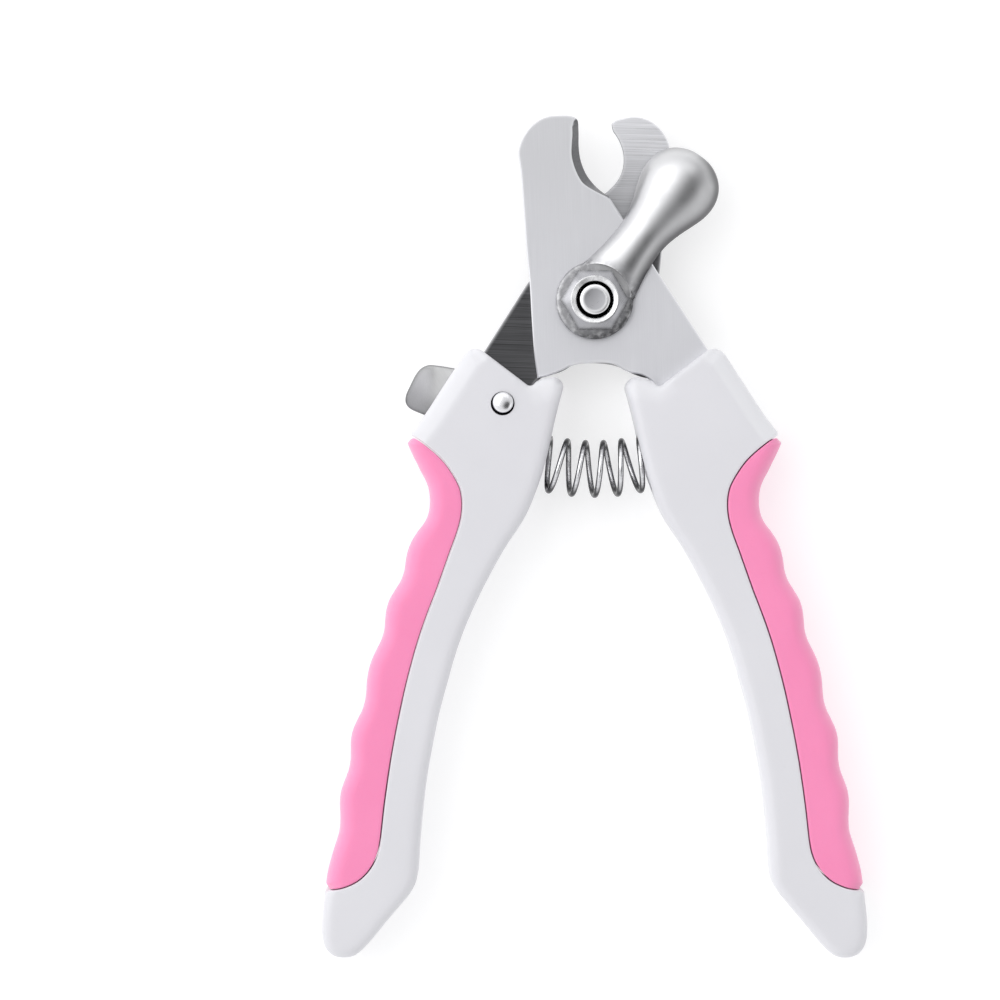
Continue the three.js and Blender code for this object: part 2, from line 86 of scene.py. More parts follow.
def dense(pts, step=0.4, line=False):
    """Smooth curve through the points, sampled at even steps; both ends are kept."""
    p = np.asarray(pts, float)
    if line or len(p) < 3:
        fine = p
    else:
        q = np.vstack([2 * p[0] - p[1], p, 2 * p[-1] - p[-2]])
        out = []
        for i in range(1, len(q) - 2):
            p0, p1, p2, p3 = q[i - 1], q[i], q[i + 1], q[i + 2]
            t = np.linspace(0, 1, 12, endpoint=False)[:, None]
            d1, d2, d3 = [max(np.linalg.norm(b - a) ** 0.5, 1e-6) for a, b in ((p0, p1), (p1, p2), (p2, p3))]
            m1 = (p2 - p1) + d2 * ((p1 - p0) / d1 - (p2 - p0) / (d1 + d2))
            m2 = (p2 - p1) + d2 * ((p3 - p2) / d3 - (p3 - p1) / (d2 + d3))
            out.append((2 * t**3 - 3 * t**2 + 1) * p1 + (t**3 - 2 * t**2 + t) * m1
                       + (-2 * t**3 + 3 * t**2) * p2 + (t**3 - t**2) * m2)
        fine = np.vstack(out + [q[-2][None]])
    seg = np.linalg.norm(np.diff(fine, axis=0), axis=1)
    s = np.concatenate([[0], np.cumsum(seg)])
    n = max(2, int(round(s[-1] / step)) + 1)
    u = np.linspace(0, s[-1], n)
    return np.stack([np.interp(u, s, fine[:, 0]), np.interp(u, s, fine[:, 1])], 1)


def loop(*runs):
    """Closed outline from (tag, points) runs laid end to end. Returns points and the tag of each side."""
    P, tags = [], []
    for tag, pts in runs:
        pts = np.asarray(pts, float)
        if P and np.linalg.norm(P[-1] - pts[0]) < 0.05:
            pts = pts[1:]
            tags[-1] = tag
        for p in pts:
            P.append(p)
            tags.append(tag)
    if np.linalg.norm(P[0] - P[-1]) < 0.05:
        P.pop()
        last = tags.pop()
        tags[-1] = last
    return np.array(P), np.array(tags)


def soften(P, corners, reach, rounds):
    """Rounds the outline near the given corner points."""
    P = P.copy()
    w = np.zeros(len(P))
    for c in corners:
        d = np.linalg.norm(P - np.asarray(c), axis=1)
        w = np.maximum(w, np.clip(1 - (d / reach) ** 2, 0, 1))
    for _ in range(rounds):
        P += w[:, None] * 0.5 * (0.5 * (np.roll(P, 1, 0) + np.roll(P, -1, 0)) - P) * 1.6
    return P


def area(P):
    x, y = P[:, 0], P[:, 1]
    return 0.5 * np.sum(x * np.roll(y, -1) - y * np.roll(x, -1))


def inside(Q, loops):
    hit = np.zeros(len(Q), bool)
    for P in loops:
        A, B = P, np.roll(P, -1, 0)
        for lo in range(0, len(Q), 4000):
            q = Q[lo:lo + 4000]
            y = q[:, 1][:, None]
            cross = (A[:, 1] > y) != (B[:, 1] > y)
            with np.errstate(divide="ignore", invalid="ignore"):
                xs = A[:, 0] + (y - A[:, 1]) * (B[:, 0] - A[:, 0]) / (B[:, 1] - A[:, 1])
            hit[lo:lo + 4000] ^= (np.sum(cross & (q[:, 0][:, None] < xs), 1) % 2).astype(bool)
    return hit


def away(Q, A, B):
    out = np.full(len(Q), 1e3)
    if not len(A):
        return out
    d = B - A
    L = np.maximum(np.sum(d * d, 1), 1e-12)
    for lo in range(0, len(Q), 3000):
        q = Q[lo:lo + 3000]
        w = q[:, None, :] - A[None]
        t = np.clip(np.sum(w * d[None], 2) / L, 0, 1)
        out[lo:lo + 3000] = np.sqrt(np.min(np.sum((w - t[..., None] * d[None]) ** 2, 2), 1))
    return out


def grow(P, d):
    P = np.asarray(P, float)
    s = 1 if area(P) > 0 else -1
    u = P - np.roll(P, 1, 0)
    v = np.roll(P, -1, 0) - P
    u /= np.linalg.norm(u, axis=1)[:, None]
    v /= np.linalg.norm(v, axis=1)[:, None]
    n = (np.stack([u[:, 1], -u[:, 0]], 1) + np.stack([v[:, 1], -v[:, 0]], 1)) * s
    k = np.minimum(2 / np.maximum(np.sum(n * n, 1), 1e-6), 2.0)
    return P + n * (d * k)[:, None] * 1.0


def step_up(x, a, b):
    t = np.clip((x - a) / (b - a), 0, 1)
    return t * t * (3 - 2 * t)


def rounding(d, a, b):
    """Drop of a rounded edge: b at the outline, nothing beyond a."""
    t = np.clip(1 - d / a, 0, 1)
    return b * (1 - np.sqrt(np.maximum(1 - t * t, 0)))


def arc_rings(a, n=6):
    return [a * (1 - math.cos(math.radians(90 * i / n))) for i in range(1, n + 1)]


# ---- mesh tools ----------------------------------------------------------------------------------
def mesh_object(name, verts, faces, smooth=True, sharp=34.0, attrs=None):
    me = bpy.data.meshes.new(name)
    v = np.asarray(verts, float)
    v = np.clip(v, BOX_LO, BOX_HI)
    me.from_pydata(v.tolist(), [], [list(map(int, f)) for f in faces])
    me.validate()
    for k, vals in (attrs or {}).items():
        a = me.attributes.new(k, "FLOAT", "POINT")
        a.data.foreach_set("value", np.asarray(vals, np.float32))
    ob = bpy.data.objects.new(name, me)
    bpy.context.scene.collection.objects.link(ob)
    finish_shading(ob, sharp, smooth)
    return ob


def finish_shading(ob, sharp=34.0, smooth=True):
    bm = bmesh.new()
    bm.from_mesh(ob.data)
    lim = math.radians(sharp)
    for f in bm.faces:
        f.smooth = smooth
    for e in bm.edges:
        if len(e.link_faces) == 2:
            e.smooth = e.calc_face_angle(0.0) < lim
    bm.to_mesh(ob.data)
    bm.free()
    ob.data.update()


BOX_LO = np.array(CAD_BOX[0], float)
BOX_HI = np.array(CAD_BOX[1], float)


def to_row(P, z, angle=0.0):
    q = rot(P, angle)
    return np.stack([q[:, 0] * MM, (q[:, 1] + PIVOT_Y) * MM, np.asarray(z) * MM], 1)


def field_mesh(name, loops, top, bottom, rings, grid, angle=0.0, sharp=34.0, crisp=(), attrs=None):
    """Closed solid over a flat region: its upper and lower surfaces are heights that depend on
    the place and on the distance to each tagged stretch of outline."""
    fixed = []
    for i, (P, tg) in enumerate(loops):
        want = 1 if i == 0 else -1
        if area(P) * want < 0:
            P, tg = P[::-1].copy(), np.roll(tg[::-1], -1)
        fixed.append((P, tg))
    A = np.vstack([P for P, _ in fixed])
    B = np.vstack([np.roll(P, -1, 0) for P, _ in fixed])
    tags = np.concatenate([t for _, t in fixed])
    names = sorted(set(tags.tolist()))

    def dist(Q):
        return {t: away(Q, A[tags == t], B[tags == t]) for t in names}

    pts, edges = [], []
    base = 0
    for P, _ in fixed:
        n = len(P)
        pts.append(P)
        edges += [(base + i, base + (i + 1) % n) for i in range(n)]
        base += n
    cand, reach, track = [], [], []
    for li, (P, tg) in enumerate(fixed):
        u = P - np.roll(P, 1, 0)
        v = np.roll(P, -1, 0) - P
        u = u / np.maximum(np.linalg.norm(u, axis=1), 1e-9)[:, None]
        v = v / np.maximum(np.linalg.norm(v, axis=1), 1e-9)[:, None]
        n = np.stack([-(u[:, 1] + v[:, 1]), u[:, 0] + v[:, 0]], 1)
        n /= np.maximum(np.linalg.norm(n, axis=1), 1e-9)[:, None]
        prev = np.roll(tg, 1)
        for i in range(len(P)):
            for k, r in enumerate(rings.get(str(tg[i]), ())):
                if str(prev[i]) == str(tg[i]):
                    r = r(P[i], n[i]) if callable(r) else r
                    cand.append(P[i] + n[i] * r)
                    reach.append(r)
                    track.append((li, i, k, str(tg[i])))
    if cand:
        Q, R = np.array(cand), np.array(reach)
        D = dist(Q)
        d = np.min(np.stack([D[t] for t in names]), 0)
        own = np.select([np.array([t[3] == k for t in track]) for k in names], [D[k] for k in names])
        keep = inside(Q, [P for P, _ in fixed]) & (own >= R * 0.985 - 0.003) & (d >= np.minimum(R, 0.05) * 0.95)
        idx = np.nonzero(keep)[0]
        _, uniq = np.unique(np.round(Q[idx] / 0.02).astype(int), axis=0, return_index=True)
        idx = idx[np.sort(uniq)]
        where = {}
        for k, i in enumerate(idx):
            where[track[i][:3]] = base + k
        for i in idx:
            li, j, r, tg = track[i]
            if any(tg == c and r == cr for c, cr in crisp):
                nxt = (li, (j + 1) % len(fixed[li][0]), r)
                if nxt in where:
                    edges.append((where[(li, j, r)], where[nxt]))
        pts.append(Q[idx])
        base += len(idx)
    lo, hi = A.min(0), A.max(0)
    ys = np.arange(lo[1], hi[1], grid * 0.87)
    gp = [np.stack([np.arange(lo[0] + (grid / 2 if k % 2 else 0), hi[0], grid),
                    np.full(len(np.arange(lo[0] + (grid / 2 if k % 2 else 0), hi[0], grid)), y)], 1)
          for k, y in enumerate(ys)]
    G = np.vstack(gp) + np.array([0.013, 0.007])
    G = G[inside(G, [P for P, _ in fixed])]
    if len(G):
        D = dist(G)
        ok = np.ones(len(G), bool)
        for t in names:
            far = max([1.6 if callable(r) else r for r in rings.get(str(t), [0.0])] or [0.0])
            ok &= D[t] > far + 0.45 * grid
        pts.append(G[ok])
    V = np.vstack(pts)
    out = delaunay_2d_cdt([Vector((float(x), float(y))) for x, y in V], edges, [], 0, 1e-5)
    W = np.array([[v.x, v.y] for v in out[0]])
    F = np.array([list(f) for f in out[2]])
    F = F[inside(W[F].mean(1), [P for P, _ in fixed])]
    a, b, c = W[F[:, 0]], W[F[:, 1]], W[F[:, 2]]
    ccw = (b[:, 0] - a[:, 0]) * (c[:, 1] - a[:, 1]) - (b[:, 1] - a[:, 1]) * (c[:, 0] - a[:, 0])
    F[ccw < 0] = F[ccw < 0][:, ::-1]
    F = F[np.abs(ccw) > 1e-9]
    used = np.unique(F)
    remap = -np.ones(len(W), int)
    remap[used] = np.arange(len(used))
    W, F = W[used], remap[F]
    D = dist(W)
    zt, zb = top(W, D), bottom(W, D)
    n = len(W)
    verts = np.vstack([to_row(W, zt, angle), to_row(W, zb, angle)])
    count = {}
    for f in F:
        for k in range(3):
            e = (int(f[k]), int(f[(k + 1) % 3]))
            count[e] = count.get(e, 0) + 1
    faces = [tuple(f) for f in F] + [tuple(f[::-1] + n) for f in F]
    for (i, j) in list(count):
        if (j, i) not in count:
            faces.append((i, i + n, j + n, j))
    marks = {k: np.concatenate([f(W, D), f(W, D)]) for k, f in (attrs or {}).items()}
    return mesh_object(name, verts, faces, sharp=sharp, attrs=marks)


def prism(name, P, z0, z1):
    """Plain cutter: an outline extruded between two heights. Kept out of the finished scene."""
    P = np.asarray(P, float)
    if area(P) < 0:
        P = P[::-1]
    n = len(P)
    v = np.vstack([to_row(P, np.full(n, z0)), to_row(P, np.full(n, z1))])
    me = bpy.data.meshes.new(name)
    me.from_pydata(v.tolist(), [], [list(range(n))[::-1], [n + i for i in range(n)]]
                   + [[i, (i + 1) % n, n + (i + 1) % n, n + i] for i in range(n)])
    ob = bpy.data.objects.new(name, me)
    bpy.context.scene.collection.objects.link(ob)
    return ob


def carve(ob, cutter, sharp=34.0):
    m = ob.modifiers.new("cut", "BOOLEAN")
    m.operation, m.solver, m.object = "DIFFERENCE", "EXACT", cutter
    dg = bpy.context.evaluated_depsgraph_get()
    me = bpy.data.meshes.new_from_object(ob.evaluated_get(dg))
    ob.modifiers.clear()
    ob.data = me
    bpy.data.objects.remove(cutter)
    finish_shading(ob, sharp)
    return ob


def lathe(name, rows, centre=(0.0, 0.0), segs=96, closed=False, sharp=30.0, wobble=0.0):
    """Turned piece. rows are [radius, z]; they start and end on the axis, or close on themselves."""
    cx, cy = centre
    verts, rings = [], []
    for r, z in rows:
        if r < 1e-6:
            rings.append([len(verts)])
            verts.append((cx, cy, z))
        else:
            rings.append(list(range(len(verts), len(verts) + segs)))
            for k in range(segs):
                a = 2 * math.pi * k / segs
                verts.append((cx + r * math.cos(a), cy + r * math.sin(a), z + wobble * math.sin(3 * a)))
    faces = []
    pairs = list(zip(rings, rings[1:])) + ([(rings[-1], rings[0])] if closed else [])
    for a, b in pairs:
        for k in range(segs):
            k2 = (k + 1) % segs
            if len(a) == 1 and len(b) == 1:
                continue
            if len(a) == 1:
                faces.append((a[0], b[k2], b[k]))
            elif len(b) == 1:
                faces.append((a[k], a[k2], b[0]))
            else:
                faces.append((a[k], a[k2], b[k2], b[k]))
    v = np.array(verts)
    v = to_row(v[:, :2], v[:, 2])
    ob = mesh_object(name, v, faces, sharp=sharp)
    return face_out(ob)


def face_out(ob):
    bm = bmesh.new()
    bm.from_mesh(ob.data)
    bmesh.ops.recalc_face_normals(bm, faces=bm.faces)
    bm.to_mesh(ob.data)
    bm.free()
    return ob


# ---- outlines --------------------------------------------------------------------------------------
HEAD_TOP = [[11.36, -15.57], [19.6, -9.3], [21.9, -7.5]]
HEAD_OUT = [[21.9, -7.5], [23.7, -10.36], [27.0, -15.45], [30.21, -20.36], [32.55, -23.45]]
GRIP_OUT = [[33.3, -24.3], [33.39, -25.0], [32.95, -26.25], [32.29, -27.68], [31.57, -29.11],
            [30.89, -30.54], [30.11, -31.96], [29.57, -33.39], [29.34, -35.0], [29.36, -36.79],
            [29.7, -38.39], [30.45, -39.82], [31.55, -41.25], [32.55, -42.86], [33.2, -44.46],
            [33.6, -46.25], [33.85, -48.04], [34.45, -49.82], [35.54, -51.61], [36.55, -53.39],
            [37.08, -55.18], [37.28, -56.96], [37.45, -58.75], [38.0, -60.54], [38.9, -62.32],
            [39.7, -64.11], [40.22, -65.89], [40.52, -67.68], [40.64, -69.46], [40.85, -71.25],
            [41.42, -73.04], [42.3, -74.82], [43.05, -76.61], [43.38, -78.39], [43.4, -80.18],
            [43.45, -81.96], [43.82, -83.75], [44.5, -85.54], [45.1, -87.32], [45.33, -89.11],
            [45.3, -90.89], [45.26, -92.68], [45.42, -94.46], [45.95, -96.25], [46.54, -98.04],
            [47.04, -99.82], [47.48, -101.61], [47.75, -103.39], [47.86, -104.5]]
HEEL_OUT = [[47.9, -105.1], [48.1, -106.96], [48.34, -109.11], [48.46, -111.25], [48.36, -113.39],
            [47.84, -115.05], [46.82, -116.25], [45.4, -116.82], [43.93, -116.86], [42.59, -116.46],
            [41.3, -115.5]]
INNER = [[41.3, -115.5], [40.0, -114.11], [38.57, -112.41], [37.05, -110.54], [35.54, -108.75],
         [34.02, -106.96], [32.7, -105.3], [31.85, -103.7], [31.45, -102.1], [31.28, -100.18],
         [31.07, -96.61], [30.75, -93.04], [30.39, -89.46], [29.96, -85.89], [29.38, -82.32],
         [28.71, -78.75], [28.0, -75.18], [27.14, -71.61], [26.14, -68.04], [25.11, -64.29],
         [23.9, -60.54], [22.5, -56.96], [20.89, -53.39], [19.11, -49.82], [17.2, -46.25],
         [15.2, -42.9], [13.7, -40.71], [12.46, -38.7], [11.57, -36.9], [10.86, -35.2],
         [10.18, -33.4], [9.32, -30.9], [8.57, -28.2], [7.82, -25.0], [7.11, -21.75], [6.43, -18.9],
         [5.89, -16.9], [5.45, -15.2], [5.35, -13.75]]
NOSE = [[5.35, -13.75], [7.6, -13.72], [10.0, -14.04]]
NOTCH = [[10.0, -14.04], [11.36, -15.57]]
SEAM = [[32.95, -23.95], [31.25, -24.91], [29.46, -26.25], [27.82, -27.68], [26.5, -29.11], [25.5, -30.54],
        [24.64, -31.96], [23.98, -33.39], [23.64, -35.0], [23.57, -36.79], [23.78, -38.75],
        [24.32, -40.89], [25.0, -42.86], [25.67, -44.64], [26.3, -46.43], [26.93, -48.21],
        [27.56, -50.0], [28.2, -51.79], [28.87, -53.5], [29.54, -55.25], [30.18, -57.0],
        [30.8, -58.75], [31.38, -60.54], [31.91, -62.32], [32.41, -64.11], [32.89, -65.89],
        [33.35, -67.68], [33.78, -69.46], [34.18, -71.25], [34.56, -73.04], [34.93, -74.82],
        [35.29, -76.61], [35.63, -78.39], [35.95, -80.18], [36.26, -81.96], [36.54, -83.75],
        [36.81, -85.54], [37.06, -87.32], [37.3, -89.11], [37.52, -90.89], [37.72, -92.68],
        [37.91, -94.46], [38.13, -96.25], [38.5, -98.1], [39.2, -99.9], [40.4, -101.7],
        [42.2, -103.3], [44.5, -104.35], [46.4, -104.75], [47.88, -104.8]]
TANG = [[25.39, -18.04], [27.36, -23.04], [27.0, -26.96], [24.86, -31.25], [23.07, -35.54],
        [23.07, -40.89], [24.05, -45.54], [24.68, -48.75], [24.14, -50.0], [22.89, -50.54],
        [21.64, -50.0], [20.39, -47.68], [18.61, -43.57], [16.91, -39.11], [15.7, -34.64],
        [15.3, -30.18], [15.2, -24.82], [13.96, -21.25], [12.0, -17.68], [11.0, -15.4]]
ARCH = [[10.25, -14.3], [9.25, -13.57], [8.18, -13.14], [6.57, -12.82], [5.23, -12.25],
        [4.07, -11.55], [3.0, -11.15], [1.04, -11.02], [-0.75, -11.07], [-2.71, -11.27],
        [-4.32, -11.68], [-5.57, -12.28], [-7.0, -12.95], [-8.43, -13.45], [-10.14, -13.82]]
JAW_SIDE = [[-10.14, -13.82], [-10.71, -9.5], [-11.16, -3.21], [-11.54, 3.32], [-12.04, 8.34],
            [-12.66, 17.11], [-13.16, 23.36], [-13.54, 26.38], [-13.29, 27.7], [-12.54, 29.38],
            [-11.29, 31.04], [-9.77, 32.21], [-8.02, 32.85], [-6.27, 32.98], [-4.77, 32.98],
            [-3.6, 32.72], [-2.95, 32.05], [-2.82, 31.25]]
FRONT_EDGE = [[-2.82, 31.25], [-2.77, 29.64], [-2.77, 28.0], [-2.6, 26.07], [-2.14, 24.29],
              [-1.38, 22.59], [-0.42, 21.25], [0.59, 20.18], [1.72, 19.18], [2.5, 18.65]]
FRONT_ROOT = [[2.5, 18.65], [20.4, -9.0]]
REAR_SIDE = [[10.14, -13.82], [10.71, -9.5], [11.16, -3.21], [11.54, 3.32], [12.04, 8.34],
             [12.66, 17.11], [13.3, 23.36], [13.66, 26.0], [13.41, 28.04], [12.64, 29.73],
             [11.3, 31.36], [9.52, 32.5], [7.64, 32.94], [6.21, 32.88], [4.79, 32.61],
             [3.75, 32.25], [3.11, 31.72]]
REAR_EDGE = [[3.11, 31.72], [3.37, 30.5], [4.12, 29.32], [4.75, 28.07], [5.18, 26.62],
             [5.3, 25.12], [5.04, 23.36], [4.29, 21.71], [3.3, 20.45], [1.8, 19.15], [0.3, 18.2],
             [-1.6, 17.6]]
REAR_ROOT = [[-1.6, 17.6], [-12.1, 2.86], [-19.68, -9.11]]
TAB_LOW = [[-2.0, -3.9], [-5.6, -3.35], [-11.25, -2.86], [-13.93, -2.11], [-16.25, -1.21],
           [-17.4, -0.78], [-17.9, -0.15], [-17.75, 0.6], [-16.75, 2.86], [-15.6, 5.3],
           [-15.1, 6.35], [-14.4, 6.82], [-13.39, 6.93], [-11.52, 6.77], [-9.36, 6.42],
           [-7.3, 6.0], [-4.7, 5.1], [-3.0, 4.9]]
HUB_TOP = [[-3.0, 4.9], [-1.4, 5.2], [0.19, 6.1]]
ARM_LOCKED = [[-1.8, 3.9], [2.2, 5.2], [8.0, 6.5], [14.0, 6.3], [18.6, 5.4], [20.8, 3.6],
              [20.9, 1.0], [20.3, 0.25], [19.4, 0.45], [19.25, 2.2], [17.2, 2.35], [15.8, 2.9],
              [13.0, 3.1], [8.0, 2.6], [4.0, 0.2], [2.4, -3.0], [-1.8, -3.6]]
GUARD_W = [[3.9, 5.62], [5.36, 5.3], [7.68, 4.82], [10.54, 4.46], [13.39, 4.34], [15.54, 4.5],
           [18.39, 5.23], [20.71, 6.07], [23.04, 6.84], [25.0, 7.12], [26.79, 6.96],
           [28.57, 6.29], [30.0, 5.18], [31.07, 3.66], [31.7, 2.0], [31.87, 0.6]]


# ---- materials -----------------------------------------------------------------------------------------
def node(nt, kind, **kw):
    n = nt.nodes.new(kind)
    for k, v in kw.items():
        setattr(n, k, v)
    return n


class Mat:
    """A principled material with its noise-driven colour, roughness and relief."""

    def __init__(self, name, color, rough, metal=0.0):
        self.m = bpy.data.materials.new(name)
        self.m.use_nodes = True
        self.nt = self.m.node_tree
        self.nt.nodes.clear()
        self.out = node(self.nt, "ShaderNodeOutputMaterial")
        self.b = node(self.nt, "ShaderNodeBsdfPrincipled")
        self.nt.links.new(self.b.outputs[0], self.out.inputs[0])
        self.set("Base Color", (*color, 1.0))
        self.set("Roughness", rough)
        self.set("Metallic", metal)
        tc = node(self.nt, "ShaderNodeTexCoord")
        mp = node(self.nt, "ShaderNodeMapping")
        mp.inputs["Scale"].default_value = (1000.0, 1000.0, 1000.0)   # to mm
        self.nt.links.new(tc.outputs["Object"], mp.inputs["Vector"])
        self.mm = mp.outputs[0]
        self.normal = None

    def set(self, name, value):
        self.b.inputs[name].default_value = value

    def link(self, a, b):
        self.nt.links.new(a, b)

    def stretched(self, sx, sy, sz, turn=0.0):
        r = node(self.nt, "ShaderNodeMapping")
        r.inputs["Rotation"].default_value = (0, 0, math.radians(turn))
        s = node(self.nt, "ShaderNodeMapping")
        s.inputs["Scale"].default_value = (sx, sy, sz)
        self.link(self.mm, r.inputs["Vector"])
        self.link(r.outputs[0], s.inputs["Vector"])
        return s.outputs[0]

    def noise(self, scale, detail=2.0, rough=0.5, vec=None, distortion=0.0):
        n = node(self.nt, "ShaderNodeTexNoise")
        n.inputs["Scale"].default_value = scale
        n.inputs["Detail"].default_value = detail
        n.inputs["Roughness"].default_value = rough
        n.inputs["Distortion"].default_value = distortion
        self.link(vec if vec is not None else self.mm, n.inputs["Vector"])
        return n.outputs["Fac"]

    def span(self, fac, lo, hi, a=0.3, b=0.7):
        n = node(self.nt, "ShaderNodeMapRange")
        n.inputs["From Min"].default_value = a
        n.inputs["From Max"].default_value = b
        n.inputs["To Min"].default_value = lo
        n.inputs["To Max"].default_value = hi
        self.link(fac, n.inputs["Value"])
        return n.outputs["Result"]

    def mix(self, fac, c1, c2):
        n = node(self.nt, "ShaderNodeMix", data_type="RGBA")
        for sock, c in ((n.inputs[6], c1), (n.inputs[7], c2)):
            if isinstance(c, tuple):
                sock.default_value = (*c[:3], 1.0)
            else:
                self.link(c, sock)
        if isinstance(fac, float):
            n.inputs[0].default_value = fac
        else:
            self.link(fac, n.inputs[0])
        return n.outputs[2]

    def math(self, op, a, b=None):
        n = node(self.nt, "ShaderNodeMath", operation=op)
        for sock, v in zip(n.inputs, (a, b)):
            if v is None:
                continue
            if isinstance(v, (int, float)):
                sock.default_value = v
            else:
                self.link(v, sock)
        return n.outputs[0]

    def color(self, sock):
        self.link(sock, self.b.inputs["Base Color"])

    def rough(self, sock):
        self.link(sock, self.b.inputs["Roughness"])

    def bump(self, height, depth_mm, strength=1.0):
        n = node(self.nt, "ShaderNodeBump")
        n.inputs["Strength"].default_value = strength
        n.inputs["Distance"].default_value = depth_mm * MM
        self.link(height, n.inputs["Height"])
        if self.normal is not None:
            self.link(self.normal, n.inputs["Normal"])
        self.normal = n.outputs[0]
        self.link(self.normal, self.b.inputs["Normal"])

    def attribute(self, name):
        return node(self.nt, "ShaderNodeAttribute", attribute_name=name).outputs["Fac"]


def parting(m):
    """Fine raised line at half the thickness, where the two halves of the mould met."""
    sep = node(m.nt, "ShaderNodeSeparateXYZ")
    m.link(m.mm, sep.inputs[0])
    off = m.math("ABSOLUTE", m.math("SUBTRACT", sep.outputs[2], 7.0))
    return m.span(off, 1.0, 0.0, 0.08, 0.3)


def white_plastic():
    m = Mat("handle_white", (0.80, 0.80, 0.83), 0.4)
    cloud = m.noise(0.05, 3.0)
    base = m.mix(m.span(cloud, 0.0, 1.0), (0.675, 0.67, 0.70), (0.70, 0.695, 0.725))
    speck = m.noise(1.6, 3.0, 0.6)
    base = m.mix(m.span(speck, 0.0, 0.4, 0.62, 0.8), base, (0.64, 0.64, 0.67))
    # Painted highlight: the brow and nose facets are lighter, as if lit.
    base = m.mix(m.span(m.attribute("facet"), 0.0, 0.8, 0.0, 1.0), base, (0.765, 0.765, 0.79))
    # Paler along the edges: painted highlight, with some wear.
    m.color(m.mix(m.span(m.attribute("edge"), 0.0, 0.35, 0.2, 1.0), base, (0.75, 0.75, 0.775)))
    m.rough(m.span(m.noise(0.35, 4.0), 0.33, 0.46))
    m.bump(m.noise(0.12, 2.0), 0.05, 0.5)
    m.bump(parting(m), 0.07, 0.8)
    m.bump(m.noise(7.0, 3.0, 0.6), 0.012, 0.7)
    m.set("Subsurface Weight", 0.06)
    m.set("Subsurface Radius", (0.8, 0.8, 0.8))
    m.set("Subsurface Scale", 0.0012)
    return m.m


def pink_rubber():
    m = Mat("grip_pink", (0.93, 0.27, 0.5), 0.55)
    cloud = m.noise(0.06, 3.0)
    base = m.mix(m.span(cloud, 0.0, 1.0), (0.87, 0.242, 0.455), (0.90, 0.262, 0.48))
    # Paler along the edges: painted highlight, with some wear.
    edge = m.span(m.attribute("edge"), 0.0, 0.55, 0.05, 1.0)
    base = m.mix(edge, base, (0.92, 0.47, 0.63))
    fleck = m.span(m.noise(2.4, 3.0, 0.6), 0.0, 0.35, 0.6, 0.8)
    base = m.mix(fleck, base, (0.82, 0.21, 0.42))
    m.color(base)
    m.rough(m.span(m.noise(0.5, 4.0), 0.46, 0.62))
    m.bump(m.noise(0.2, 2.0), 0.05, 0.4)
    m.bump(parting(m), 0.06, 0.6)
    m.bump(m.noise(5.0, 4.0, 0.65), 0.03, 0.8)
    m.set("Subsurface Weight", 0.08)
    m.set("Subsurface Radius", (1.0, 0.35, 0.45))
    m.set("Subsurface Scale", 0.0015)
    m.set("Sheen Weight", 0.12)
    m.set("Sheen Roughness", 0.5)
    return m.m


def steel(name, dark, light, turn, rough=(0.26, 0.4), depth=0.004, fine=9.0, long=0.05, aniso=0.4, cut=None, fade=None, blotch=0.2, lip=None, top=9.0):
    m = Mat(name, light, rough[0], 1.0)
    v = m.stretched(long, fine, fine, turn)
    lines = m.noise(1.0, 4.0, 0.6, v)
    patches = m.noise(0.09, 3.0)
    k = m.span(lines, 0.0, 1.0, 0.32, 0.68)
    c = m.mix(k, dark, light)
    if fade:      # another tone further along Y: (from mm, to mm, dark, light)
        sep = node(m.nt, "ShaderNodeSeparateXYZ")
        m.link(m.mm, sep.inputs[0])
        wave = m.math("ADD", sep.outputs[1], m.span(m.noise(0.12, 2.0), -2.0, 2.0))
        c = m.mix(m.span(wave, 0.0, 1.0, fade[0], fade[1]), c, m.mix(k, fade[2], fade[3]))
    c = m.mix(m.span(patches, 0.0, blotch), c, m.mix(0.25, c, (0.3, 0.3, 0.31)))
    rr = m.math("ADD", m.span(lines, rough[0], rough[1], 0.3, 0.7), m.span(patches, -0.03, 0.05))
    if lip:
        # Painted shade: darker along the outline of the sheet.
        c = m.mix(m.span(m.attribute("lip"), 0.0, 0.85, 0.0, 1.0), c, lip)
    if cut:
        level = node(m.nt, "ShaderNodeSeparateXYZ")
        m.link(m.mm, level.inputs[0])
        # Painted highlight along the top edges, and painted shade on the walls below the top face.
        edge = m.math("MULTIPLY", m.attribute("edge"), m.span(level.outputs[2], 0.0, 1.0, top - 0.45, top - 0.1))
        c = m.mix(m.span(edge, 0.0, 0.5, 0.2, 1.0), c, (0.93, 0.93, 0.95))
        c = m.mix(m.span(level.outputs[2], 0.45, 0.0, top - 0.5, top - 0.15), c, (0.42, 0.42, 0.435))
        grind = m.noise(1.0, 3.0, 0.6, m.stretched(9.0, 0.3, 9.0, 20.0))
        c = m.mix(m.attribute("cut"), c, m.mix(m.span(grind, 0.0, 1.0), cut, tuple(1.7 * x for x in cut)))
    m.color(c)
    m.rough(rr)
    m.bump(lines, depth, 0.8)
    if aniso:
        m.set("Anisotropic", aniso)
    return m.m


